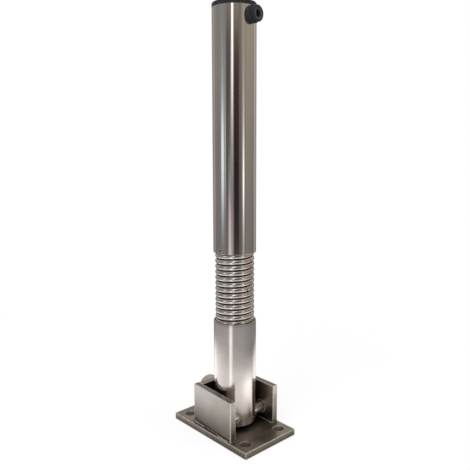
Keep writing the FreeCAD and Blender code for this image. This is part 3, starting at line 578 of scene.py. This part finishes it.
# 1 beyond a box round the middle, and the given share inside it
def outside(shaderNodes, links, halfX, halfY, inner):
    place = shaderNodes.new("ShaderNodeTexCoord")
    apart = shaderNodes.new("ShaderNodeSeparateXYZ")
    links.new(place.outputs["Object"], apart.inputs[0])
    beyond = []
    for part, half in (("X", halfX), ("Y", halfY)):
        reach = shaderNodes.new("ShaderNodeMath")
        reach.operation = "ABSOLUTE"
        links.new(apart.outputs[part], reach.inputs[0])
        beyond.append(ranged(shaderNodes, links, reach.outputs[0], half - steelWearAndPaintedLight["plainSoft"],
                             half, inner, 1))
    return sums(shaderNodes, links, "MAXIMUM", *beyond)


def addBump(shaderNodes, links, shader, height, strength, distance):
    bump = shaderNodes.new("ShaderNodeBump")
    bump.inputs["Strength"].default_value = strength
    bump.inputs["Distance"].default_value = distance
    links.new(height, bump.inputs["Height"])
    links.new(bump.outputs[0], shader.inputs["Normal"])


# tone and shade: the steel and its patches. patch: how fine the patches are. rough: from, to.
# grain: stretch of the polishing or rolling lines along x, y, z. streaks: stretch, tone and
# amount of the coloured ones among them. edge: width, amount and tone of the painted highlight
# along the edges. plainWithin: half the box inside which that painted highlight is weaker, and how
# much of it is left there.
# paintedShades: the tone of a painted shade that darkens the piece towards one place, where it
# starts and is full, and how much of it there is. paintedFaceShading: the painted light and shade
# of the faces that look along an axis. paintedCornerShade: how far into the corners the painted
# shade reaches, and its tone. paintedGapShade: the painted shade between coils.
steelFinishes = {
    "upperTubeSteel": {
        "tone": (0.63, 0.61, 0.595), "shade": (0.56, 0.535, 0.515),
        "patch": 14, "rough": (0.09, 0.13),
        "grain": (1.5, 1.5, 260), "grainDepth": 0.04, "aniso": 0.7,
        "edge": (0.0005, 0.6, (0.8, 0.78, 0.76)),
    },
    "lowerTubeSteel": {
        "tone": (0.74, 0.705, 0.69), "shade": (0.62, 0.58, 0.565),
        "patch": 34, "rough": (0.11, 0.2),
        "grain": (1.5, 1.5, 260), "grainDepth": 0.12, "aniso": 0.4,
        # painted shade along the lower tube's top rim
        "paintedShades": [((0.46, 0.4, 0.365), (0, 0, 0.1585), (0, 0, 0.163), 1.0)],
        "edge": (0.0005, 0.6, (0.85, 0.83, 0.81)),
    },
    "leftPlateSteel": {
        "tone": (0.53, 0.535, 0.515), "shade": (0.46, 0.45, 0.425),
        "patch": 30, "rough": (0.3, 0.4),
        "grain": (1.2, 6, 60), "grainDepth": 0.1,
        "streaks": ((2.5, 8, 45), (0.42, 0.41, 0.39), 0.3),
        "edge": (0.0015, 1.0, (0.9, 0.88, 0.84)),
        # painted shade towards the plate's foot and towards its front end
        "paintedShades": [((0.29, 0.262, 0.24), (0, 0, 0.058), (0, 0, 0.012), 1.0),
                  ((0.34, 0.31, 0.285), (0, 0, 0), (0.06, 0, 0), 0.45)],
        # painted shade on the inner face, the top and the front end
        "paintedFaceShading": [((0.0, 1.0, 0.0), (0.24, 0.195, 0.155)), ((0.0, 0.0, 1.0), (0.34, 0.32, 0.29)),
                 ((1.0, 0.0, 0.0), (0.48, 0.45, 0.41))],
        "paintedCornerShade": (0.006, (0.15, 0.12, 0.1)),
    },
    "rightPlateSteel": {
        "tone": (0.5, 0.48, 0.455), "shade": (0.4, 0.38, 0.355), "patch": 30, "rough": (0.3, 0.42),
        "grain": (1.2, 6, 60), "grainDepth": 0.1,
        "edge": (0.0015, 1.0, (0.9, 0.88, 0.84)),
        # painted shade on the inner face and the top
        "paintedFaceShading": [((0.0, -1.0, 0.0), (0.3, 0.25, 0.21)), ((0.0, 0.0, 1.0), (0.34, 0.32, 0.29))],
        # painted shade towards the plate's foot
        "paintedShades": [((0.25, 0.225, 0.195), (0, 0, 0.062), (0, 0, 0.045), 1.0)],
        "paintedCornerShade": (0.006, (0.14, 0.11, 0.09)),
    },
    # the rear plate's tones are darker than the side plates': painted shade
    "rearPlateSteel": {
        "tone": (0.44, 0.42, 0.395), "shade": (0.34, 0.32, 0.295),
        "patch": 30, "rough": (0.3, 0.42),
        "grain": (1.2, 6, 60), "grainDepth": 0.1,
        # painted shade on the inner face, painted light on the top
        "paintedFaceShading": [((1.0, 0.0, 0.0), (0.26, 0.21, 0.17)), ((0.0, 0.0, 1.0), (0.45, 0.4, 0.355))],
        "paintedCornerShade": (0.009, (0.14, 0.11, 0.09)),
        "edge": (0.0015, 0.9, (0.82, 0.8, 0.76)),
    },
    "basePlateSteel": {
        "tone": (0.47, 0.42, 0.36), "shade": (0.29, 0.258, 0.215),
        "patch": 26, "rough": (0.3, 0.44),
        "grain": (40, 1.2, 8), "grainDepth": 0.2,
        "streaks": ((70, 2.5, 12), (0.66, 0.63, 0.6), 0.55),
        "paintedCornerShade": (0.012, (0.075, 0.06, 0.045)),
        "edge": (0.0015, 1.0, (0.78, 0.73, 0.66)), "plainWithin": (0.07, 0.042, 0.3),
    },
    "springSteel": {
        "tone": (0.78, 0.75, 0.74), "shade": (0.58, 0.55, 0.54), "patch": 90, "rough": (0.12, 0.2),
        "grain": (20, 20, 160), "grainDepth": 0.05,
        # painted shade between the coils
        "paintedGapShade": (0.2, 0.175, 0.165),
    },
    "latchSpringSteel": {
        "tone": (0.7, 0.68, 0.655), "shade": (0.52, 0.5, 0.475),
        "patch": 120, "rough": (0.16, 0.26),
        "grain": (160, 20, 20), "grainDepth": 0.05,
    },
    "turnedSteel": {
        "tone": (0.88, 0.84, 0.79), "shade": (0.72, 0.68, 0.63),
        "patch": 60, "rough": (0.24, 0.34),
        "grain": (240, 3, 3), "grainDepth": 0.08,
        "edge": (0.0005, 0.7, (0.78, 0.76, 0.73)),
    },
    "socketSteel": {
        "tone": (0.86, 0.81, 0.75), "shade": (0.62, 0.57, 0.51),
        "patch": 50, "rough": (0.22, 0.32),
        "grain": (240, 3, 3), "grainDepth": 0.12,
        "edge": (0.0012, 1.0, (0.98, 0.94, 0.88)),
    },
    "weldSteel": {
        "tone": (0.86, 0.83, 0.78), "shade": (0.5, 0.45, 0.4), "patch": 220, "rough": (0.25, 0.45),
        "grain": (60, 60, 60), "grainDepth": 0.2,
    },
    "screwSteel": {
        "tone": (0.42, 0.4, 0.385), "shade": (0.3, 0.285, 0.27),
        "patch": 200, "rough": (0.28, 0.4),
        "grain": (60, 60, 60), "grainDepth": 0.1,
        "edge": (0.0003, 0.7, (0.65, 0.63, 0.61)),
    },
    "platedSteel": {
        "tone": (0.56, 0.55, 0.52), "shade": (0.44, 0.43, 0.4), "patch": 80, "rough": (0.28, 0.4),
        "grain": (3, 3, 200), "grainDepth": 0.1,
        "edge": (0.0005, 0.6, (0.75, 0.74, 0.71)),
    },
    "cableSteel": {
        "tone": (0.55, 0.54, 0.53), "shade": (0.34, 0.33, 0.32),
        "patch": 300, "rough": (0.3, 0.45),
        "grain": (50, 50, 50), "grainDepth": 0.1,
    },
    "crimpBrass": {
        "tone": (0.74, 0.56, 0.28), "shade": (0.55, 0.39, 0.17),
        "patch": 160, "rough": (0.25, 0.4),
        "grain": (120, 4, 4), "grainDepth": 0.1,
        "edge": (0.0004, 0.6, (0.85, 0.7, 0.42)),
    },
}


# Wear of the steel, and the settings of its painted shade and painted edge highlights
steelWearAndPaintedLight = {
    "lay": 0.25,  # turn of the polishing lines, of a full turn
    "patchStretch": (1, 1, 0.6),
    "lineScale": 8,
    "streakSpread": (0.45, 0.75),  # how much of the noise shows as streaks
    "roughPatch": 2.3,  # times finer than the patches of tone
    "paintedShadePatch": 45,
    "paintedShadeLeast": 0.8,  # share of a painted shade that is left where it is thinnest
    "crestFrom": 0.35,  # how far out on a coil the painted shade between coils begins to fade
    "crestAt": 0.75,
    "cornerShadeAmount": 0.85,
    "cornerShadeSamples": 8,
    "openFrom": 0.85,  # openness of a corner where the painted corner shade begins
    "openTo": 0.35,
    "plainSoft": 0.001,  # width over which the plainWithin box ends
    "highlightMetal": 0.2,  # what an edge keeps of the metal's look where its painted highlight is fullest
    "bump": 0.0001,
}


def makeSteel(name, finish):
    material, shaderNodes, links, shader = newMaterial(name)
    shader.inputs["Metallic"].default_value = 1
    if "aniso" in finish:
        shader.inputs["Anisotropic"].default_value = finish["aniso"]
        shader.inputs["Anisotropic Rotation"].default_value = steelWearAndPaintedLight["lay"]
        tangent = shaderNodes.new("ShaderNodeTangent")
        tangent.direction_type = "RADIAL"
        tangent.axis = "Z"
        links.new(tangent.outputs[0], shader.inputs["Tangent"])
    patches = noiseTone(shaderNodes, links, finish["patch"], steelWearAndPaintedLight["patchStretch"], 4, 0, 1)
    tone = mixTones(shaderNodes, links, patches, finish["tone"], finish["shade"])
    if "streaks" in finish:
        stretch, streak, amount = finish["streaks"]
        share = noiseTone(shaderNodes, links, steelWearAndPaintedLight["lineScale"], stretch, 3, 0, amount,
                          steelWearAndPaintedLight["streakSpread"])
        tone = mixTones(shaderNodes, links, share, tone, streak)
    # Painted shade between the coils, on the wire away from its outer side
    if "paintedGapShade" in finish:
        crest = shaderNodes.new("ShaderNodeAttribute")
        crest.attribute_name = "crest"
        share = ranged(shaderNodes, links, crest.outputs["Fac"], steelWearAndPaintedLight["crestFrom"],
                       steelWearAndPaintedLight["crestAt"], 1, 0, True)
        tone = mixTones(shaderNodes, links, share, tone, finish["paintedGapShade"])
    # Painted light and shade: each face that looks along an axis gets its own tone
    for axis, paintedFaceTone in finish.get("paintedFaceShading", []):
        tone = mixTones(shaderNodes, links, facing(shaderNodes, links, axis), tone, paintedFaceTone)
    # Painted shade: the tone darkens towards one place on the piece
    for paintedShadeTone, start, end, amount in finish.get("paintedShades", []):
        share = slope(shaderNodes, links, start, end)
        patchy = noiseTone(shaderNodes, links, steelWearAndPaintedLight["paintedShadePatch"], (1, 1, 1), 4,
                           steelWearAndPaintedLight["paintedShadeLeast"] * amount, amount)
        cover = sums(shaderNodes, links, "MULTIPLY", share, patchy)
        tone = mixTones(shaderNodes, links, cover, tone, paintedShadeTone)
    # Painted shade in corners, holes and along feet, where ambient occlusion finds them closed in
    if "paintedCornerShade" in finish:
        reach, paintedCornerShade = finish["paintedCornerShade"]
        hidden = shaderNodes.new("ShaderNodeAmbientOcclusion")
        hidden.samples = steelWearAndPaintedLight["cornerShadeSamples"]
        hidden.inputs["Distance"].default_value = reach
        share = ranged(shaderNodes, links, hidden.outputs["AO"], steelWearAndPaintedLight["openFrom"],
                       steelWearAndPaintedLight["openTo"], 0, steelWearAndPaintedLight["cornerShadeAmount"])
        tone = mixTones(shaderNodes, links, share, tone, paintedCornerShade)
    # Painted highlight along the edges: a bright tone, where the metal's look gives way
    if "edge" in finish:
        width, amount, highlightTone = finish["edge"]
        wearAndEdgeHighlight = paintedEdgeHighlight(shaderNodes, links, width, amount)
        if "plainWithin" in finish:
            wearAndEdgeHighlight = sums(shaderNodes, links, "MULTIPLY", wearAndEdgeHighlight,
                        outside(shaderNodes, links, *finish["plainWithin"]))
        tone = mixTones(shaderNodes, links, wearAndEdgeHighlight, tone, highlightTone)
        metal = ranged(shaderNodes, links, wearAndEdgeHighlight, 0, 1, 1, steelWearAndPaintedLight["highlightMetal"])
        links.new(metal, shader.inputs["Metallic"])
    links.new(tone, shader.inputs["Base Color"])
    finer = finish["patch"] * steelWearAndPaintedLight["roughPatch"]
    rough = noiseTone(shaderNodes, links, finer, (1, 1, 1), 5, *finish["rough"])
    links.new(rough, shader.inputs["Roughness"])
    grain = noiseTone(shaderNodes, links, steelWearAndPaintedLight["lineScale"], finish["grain"], 2, 0, 1)
    addBump(shaderNodes, links, shader, grain, finish["grainDepth"], steelWearAndPaintedLight["bump"])
    return material


blackFinishes = {
    "capPlastic": {
        "tone": (0.012, 0.011, 0.013), "wearAndEdgeHighlight": (0.024, 0.023, 0.026),
        "rough": (0.36, 0.48), "pebble": 900, "depth": 0.12,
        "edge": (0.0008, 0.5, (0.06, 0.06, 0.065)),
    },
    "lockBlack": {
        "tone": (0.008, 0.009, 0.012), "wearAndEdgeHighlight": (0.018, 0.02, 0.024),
        "rough": (0.34, 0.46), "pebble": 1400, "depth": 0.1,
        "edge": (0.0005, 0.6, (0.08, 0.085, 0.095)),
    },
    "coreBlack": {
        "tone": (0.02, 0.02, 0.022), "wearAndEdgeHighlight": (0.06, 0.06, 0.062),
        "rough": (0.3, 0.45), "pebble": 1400, "depth": 0.08,
        "edge": (0.0004, 0.7, (0.16, 0.16, 0.165)),
    },
}


blackWear = {"gloss": 0.24, "patch": 120, "roughPatch": 260, "bump": 0.0002}


def makeBlack(name, finish):
    material, shaderNodes, links, shader = newMaterial(name)
    shader.inputs["Specular IOR Level"].default_value = blackWear["gloss"]
    wearAndEdgeHighlight = noiseTone(shaderNodes, links, blackWear["patch"], (1, 1, 1), 5, 0, 1)
    tone = mixTones(shaderNodes, links, wearAndEdgeHighlight, finish["tone"], finish["wearAndEdgeHighlight"])
    # Painted highlight along the edges
    width, amount, highlightTone = finish["edge"]
    tone = mixTones(shaderNodes, links, paintedEdgeHighlight(shaderNodes, links, width, amount), tone, highlightTone)
    links.new(tone, shader.inputs["Base Color"])
    rough = noiseTone(shaderNodes, links, blackWear["roughPatch"], (1, 1, 1), 4, *finish["rough"])
    links.new(rough, shader.inputs["Roughness"])
    pebble = noiseTone(shaderNodes, links, finish["pebble"], (1, 1, 1), 3, 0, 1)
    addBump(shaderNodes, links, shader, pebble, finish["depth"], blackWear["bump"])
    return material


palePlastic = {
    "tone": (0.78, 0.77, 0.72), "shade": (0.66, 0.64, 0.58), "patch": 90,
    "rough": (0.35, 0.5), "roughPatch": 200,
    "lineScale": 8, "lines": (3, 200, 3),  # left by turning
    "depth": 0.1, "bump": 0.0001,
}


def makePalePlastic():
    material, shaderNodes, links, shader = newMaterial("pulleyPlastic")
    plain = palePlastic
    share = noiseTone(shaderNodes, links, plain["patch"], (1, 1, 1), 4, 0, 1)
    links.new(mixTones(shaderNodes, links, share, plain["tone"], plain["shade"]),
              shader.inputs["Base Color"])
    links.new(noiseTone(shaderNodes, links, plain["roughPatch"], (1, 1, 1), 4, *plain["rough"]),
              shader.inputs["Roughness"])
    turned = noiseTone(shaderNodes, links, plain["lineScale"], plain["lines"], 2, 0, 1)
    addBump(shaderNodes, links, shader, turned, plain["depth"], plain["bump"])
    return material


finishes = {name: makeSteel(name, finish) for name, finish in steelFinishes.items()}
finishes.update({name: makeBlack(name, finish) for name, finish in blackFinishes.items()})
finishes["pulleyPlastic"] = makePalePlastic()

nodeFinishes = {
    "base_plate": "basePlateSteel", "side_plate_left": "leftPlateSteel",
    "side_plate_right": "rightPlateSteel", "rear_plate": "rearPlateSteel",
    "latch_socket": "socketSteel", "bracket_welds": "weldSteel",
    "pivot_pin": "turnedSteel", "pivot_sleeve": "turnedSteel", "bolt_guide": "turnedSteel",
    "latch_spring": "latchSpringSteel", "pulley_yoke": "platedSteel", "pulley_axle": "turnedSteel",
    "spring_plug_lower": "platedSteel", "spring_plug_upper": "platedSteel",
    "cable_pulley": "pulleyPlastic", "latch_bolt": "turnedSteel", "cable_ferrule": "crimpBrass",
    "coil_spring": "springSteel", "pull_cable": "cableSteel", "lower_tube": "lowerTubeSteel",
    "upper_tube": "upperTubeSteel", "set_screws": "screwSteel", "top_cap": "capPlastic",
    "lock_body": "lockBlack", "key_core": "coreBlack", "saddle_washer": "platedSteel",
    "lock_nut": "platedSteel", "cable_drum": "pulleyPlastic", "drum_screw": "screwSteel",
    "cable_nipple": "crimpBrass",
}
for nodeName, finishName in nodeFinishes.items():
    mesh = nodes[nodeName].data
    mesh.materials.clear()
    mesh.materials.append(finishes[finishName])
print("finishes on", len(nodeFinishes), "nodes")


# The flex spring is wound in two halves that meet in its middle
flexSpring = {
    "wire": 0.0076,
    "pitch": 0.00785,
    "groundOff": 0.0019,  # what grinding leaves of the wire's radius at each end
    "meet": 8.0,  # turns up from the bottom
    "stepsInTurn": 48,
    "sides": 24,
    "lowerBend": (0.163, 0.207),  # heights over which the cable's lower length is cut into rings
    "upperBend": (0.217, 0.261),
}


def windWire(name, turnFrom, turnTo):
    radius = (springHigh.x - springLow.x) / 2 - flexSpring["wire"] / 2
    count = round((turnTo - turnFrom) * flexSpring["stepsInTurn"])
    lean = math.atan(flexSpring["pitch"] / (2 * math.pi * radius))
    sides = flexSpring["sides"]
    vertices = []
    for step in range(count + 1):
        turn = turnFrom + (turnTo - turnFrom) * step / count
        angle = 2 * math.pi * turn
        outward = Vector((math.cos(angle), math.sin(angle), 0))
        along = Vector((-outward.y * math.cos(lean), outward.x * math.cos(lean), math.sin(lean)))
        upward = outward.cross(along)
        height = springLow.z + flexSpring["groundOff"] + flexSpring["pitch"] * turn
        middle = post + outward * radius + Vector((0, 0, height))
        for side in range(sides):
            swing = 2 * math.pi * side / sides
            aside = outward * math.cos(swing) + upward * math.sin(swing)
            spot = middle + aside * flexSpring["wire"] / 2
            spot.z = min(springHigh.z, max(springLow.z, spot.z))
            vertices.append(spot)
    faces = []
    for step in range(count):
        for side in range(sides):
            corner = step * sides + side
            beside = step * sides + (side + 1) % sides
            faces.append((corner, corner + sides, beside + sides, beside))
    faces.append(tuple(range(sides)))
    faces.append(tuple(count * sides + side for side in reversed(range(sides))))
    piece = newPiece(name, vertices, faces)
    # crest: 1 on the wire's outer side, -1 on its inner side; the painted shade between coils
    # follows it
    crest = piece.data.attributes.new("crest", "FLOAT", "POINT")
    for number, spot in enumerate(crest.data):
        spot.value = math.cos(2 * math.pi * (number % sides) / sides)
    return piece


def finishPiece(piece, finishName):
    piece.data.materials.clear()
    piece.data.materials.append(finishes[finishName])


def bendWith(piece):
    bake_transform(piece)


springTurns = (springHigh.z - springLow.z - 2 * flexSpring["groundOff"]) / flexSpring["pitch"]
springHalves = [windWire("flexSpringLower", 0, flexSpring["meet"]),
                windWire("flexSpringUpper", flexSpring["meet"], springTurns)]
for piece in springHalves:
    finishPiece(piece, "springSteel")
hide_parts("coil_spring")
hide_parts("coil_spring")
bendWith(springHalves[0])
bendWith(springHalves[1])
print("flex spring wound,", round(springTurns, 2), "turns")


# The release cable runs from the bolt round the pulley and up to the drum. It is parted at the
# foot, where the spring's halves meet, and at the drum.
releaseCable = {
    "foot": 0.0445,
    "middle": 0.212,
    "drum": 0.5757,
    "bolt": (0.0123, -0.006),  # from the pulley to the end in the bolt, along the bolt
    "drumTop": 0.5833,
    "step": 0.004,  # spacing of the rings cut across the cable's lower and upper lengths
}


def cutAcross(mesh, height, drop=None):
    shape = bmesh.new()
    shape.from_mesh(mesh)
    everything = list(shape.verts) + list(shape.edges) + list(shape.faces)
    found = bmesh.ops.bisect_plane(shape, geom=everything, plane_co=(0, 0, height),
                                   plane_no=(0, 0, 1), clear_outer=drop == "above",
                                   clear_inner=drop == "below")
    if drop:
        rim = [item for item in found["geom_cut"] if isinstance(item, bmesh.types.BMEdge)]
        bmesh.ops.edgeloop_fill(shape, edges=rim)
    shape.to_mesh(mesh)
    shape.free()


def takeLength(name, node, low=None, high=None, rings=()):
    mesh = nodes[node].data.copy()
    mesh.name = name
    piece = bpy.data.objects.new(name, mesh)
    scene.collection.objects.link(piece)
    if low:
        cutAcross(mesh, low, "below")
    if high:
        cutAcross(mesh, high, "above")
    for height in rings:
        cutAcross(mesh, height)
    for face in mesh.polygons:
        face.use_smooth = True
    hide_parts(node)
    return piece


def ringsBetween(heights, step):
    return [heights[0] + step * n for n in range(int((heights[1] - heights[0]) / step) + 1)]


def makeReleaseCable(cable):
    foot = takeLength("releaseCableFoot", "pull_cable", None, cable["foot"])
    lower = takeLength("releaseCableLower", "pull_cable", cable["foot"], cable["middle"],
                       ringsBetween(flexSpring["lowerBend"], cable["step"]))
    upper = takeLength("releaseCableUpper", "pull_cable", cable["middle"], cable["drum"],
                       ringsBetween(flexSpring["upperBend"], cable["step"]))
    end = takeLength("releaseCableEnd", "pull_cable", cable["drum"], None)
    for piece in (foot, lower, upper, end):
        finishPiece(piece, "cableSteel")
    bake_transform(foot)
    bendWith(lower)
    bendWith(upper)
    bendWith(end)


makeReleaseCable(releaseCable)
print("release cable laid in four lengths")


# The latch spring, a copy of its node's mesh
latchSpring = takeLength("latchSpring", "latch_spring")
finishPiece(latchSpring, "latchSpringSteel")
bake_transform(latchSpring)
print("latch spring in place")


# Weld beads, laid in the corners where the foot's plates meet
weldBead = {
    "ripple": 0.0021,  # from one ripple to the next
    "rippleDepth": 0.1,  # share of the bead's leg
    "trail": 0.45,  # how far a ripple's toes hang back, in ripples
    "body": 0.92,  # shares of the leg in the bead's body and crown
    "crown": 0.12,
    "steps": 5,  # sections in a ripple
    "sides": 12,
    "taper": 0.0022,  # rounding in at each end
    "endSwell": 0.35,  # share of the leg that is left at the very end
    "valley": 0.6,  # below 1 the ripples have broad valleys and narrow crests
    "wander": (0.05, 900, 1.7),  # unevenness along the bead: amount, pace and start
    "flutter": (0.04, 2100),  # the finer one, which starts otherwise at each side
    "sunk": 0.0001,
    "arcFrom": 0.8,  # share of a rod's leg beyond which its corner points lie on the arc
    "sameWay": 0.9,  # cosine between two legs that run the same way
    "sameSpot": 0.00001,
}


# A rod's two corner points and its two leg directions, from one loose part of the welds' node
def readBead(spots):
    middle = sum(spots, Vector()) / len(spots)
    farthest = max(spots, key=lambda spot: (spot - middle).length)
    opposite = max(spots, key=lambda spot: (spot - farthest).length)
    along = max((Vector(axis) for axis in ((1, 0, 0), (0, 1, 0), (0, 0, 1))),
                key=lambda axis: abs(axis.dot(opposite - farthest)))
    ends = []
    for sign in (-1, 1):
        end = [spot for spot in spots if (spot - middle).dot(along) * sign > 0]
        corner = min(end, key=lambda spot: max((other - spot).length for other in end))
        reach = max((other - corner).length for other in end)
        arc = [spot for spot in end if (spot - corner).length > reach * weldBead["arcFrom"]]
        firstLeg = max(arc, key=lambda spot: max((other - spot).length for other in arc))
        secondLeg = max(arc, key=lambda spot: (spot - firstLeg).length)
        ends.append((corner, (firstLeg - corner) / reach, (secondLeg - corner) / reach, reach))
    start, finish = ends
    if start[1].dot(finish[1]) < weldBead["sameWay"]:
        finish = (finish[0], finish[2], finish[1], finish[3])
    return start, finish


def layBead(name, spots):
    start, finish = readBead(spots)
    corner, across, upward, leg = start
    length = (finish[0] - corner).length
    along = (finish[0] - corner) / length
    count = max(6, round(length / weldBead["ripple"] * weldBead["steps"]))
    sides, least = weldBead["sides"], weldBead["endSwell"]
    wide, widePace, wideStart = weldBead["wander"]
    fine, finePace = weldBead["flutter"]
    vertices = []
    for step in range(count + 1):
        run = length * step / count
        nearEnd = min(run, length - run)
        share = min(1, nearEnd / weldBead["taper"])
        swell = least + (1 - least) * math.sqrt(max(0, 1 - (1 - share) ** 2))
        vertices.append(corner + along * run - (across + upward) * weldBead["sunk"])
        for side in range(sides + 1):
            swing = math.pi / 2 * side / sides
            # each ripple trails behind at its two toes, as the puddle leaves it
            trail = run / weldBead["ripple"] - weldBead["trail"] * (2 * side / sides - 1) ** 2
            dip = abs(math.sin(math.pi * trail)) ** weldBead["valley"]
            ridge = 1 - weldBead["rippleDepth"] * dip
            wander = (1 + wide * math.sin(run * widePace + wideStart)
                      + fine * math.sin(run * finePace + side))
            reach = leg * swell * (weldBead["body"] + weldBead["crown"] * ridge) * wander
            direction = across * math.cos(swing) + upward * math.sin(swing)
            vertices.append(corner + along * run + direction * reach)
    row = sides + 2
    faces = []
    for step in range(count):
        for side in range(row):
            here, beside = step * row + side, step * row + (side + 1) % row
            faces.append((here, beside, beside + row, here + row))
    faces.append(tuple(reversed(range(row))))
    faces.append(tuple(count * row + side for side in range(row)))
    piece = newPiece(name, vertices, faces)
    shape = bmesh.new()
    shape.from_mesh(piece.data)
    bmesh.ops.recalc_face_normals(shape, faces=shape.faces)
    shape.to_mesh(piece.data)
    shape.free()
    return piece


def looseParts(mesh):
    shape = bmesh.new()
    shape.from_mesh(mesh)
    bmesh.ops.remove_doubles(shape, verts=shape.verts, dist=weldBead["sameSpot"])
    seen = set()
    parts = []
    for first in shape.verts:
        if first in seen:
            continue
        seen.add(first)
        reached, part = [first], []
        while reached:
            corner = reached.pop()
            part.append(corner.co.copy())
            for edge in corner.link_edges:
                other = edge.other_vert(corner)
                if other not in seen:
                    seen.add(other)
                    reached.append(other)
        parts.append(part)
    shape.free()
    middles = {id(part): sum(part, Vector()) / len(part) for part in parts}
    return sorted(parts, key=lambda part: tuple(round(v, 4) for v in middles[id(part)]))


beads = [layBead(f"weldBead{number}", part)
         for number, part in enumerate(looseParts(nodes["bracket_welds"].data))]
for piece in beads:
    finishPiece(piece, "weldSteel")
    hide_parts("bracket_welds")
    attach(piece, "base")
print("weld beads laid:", len(beads))
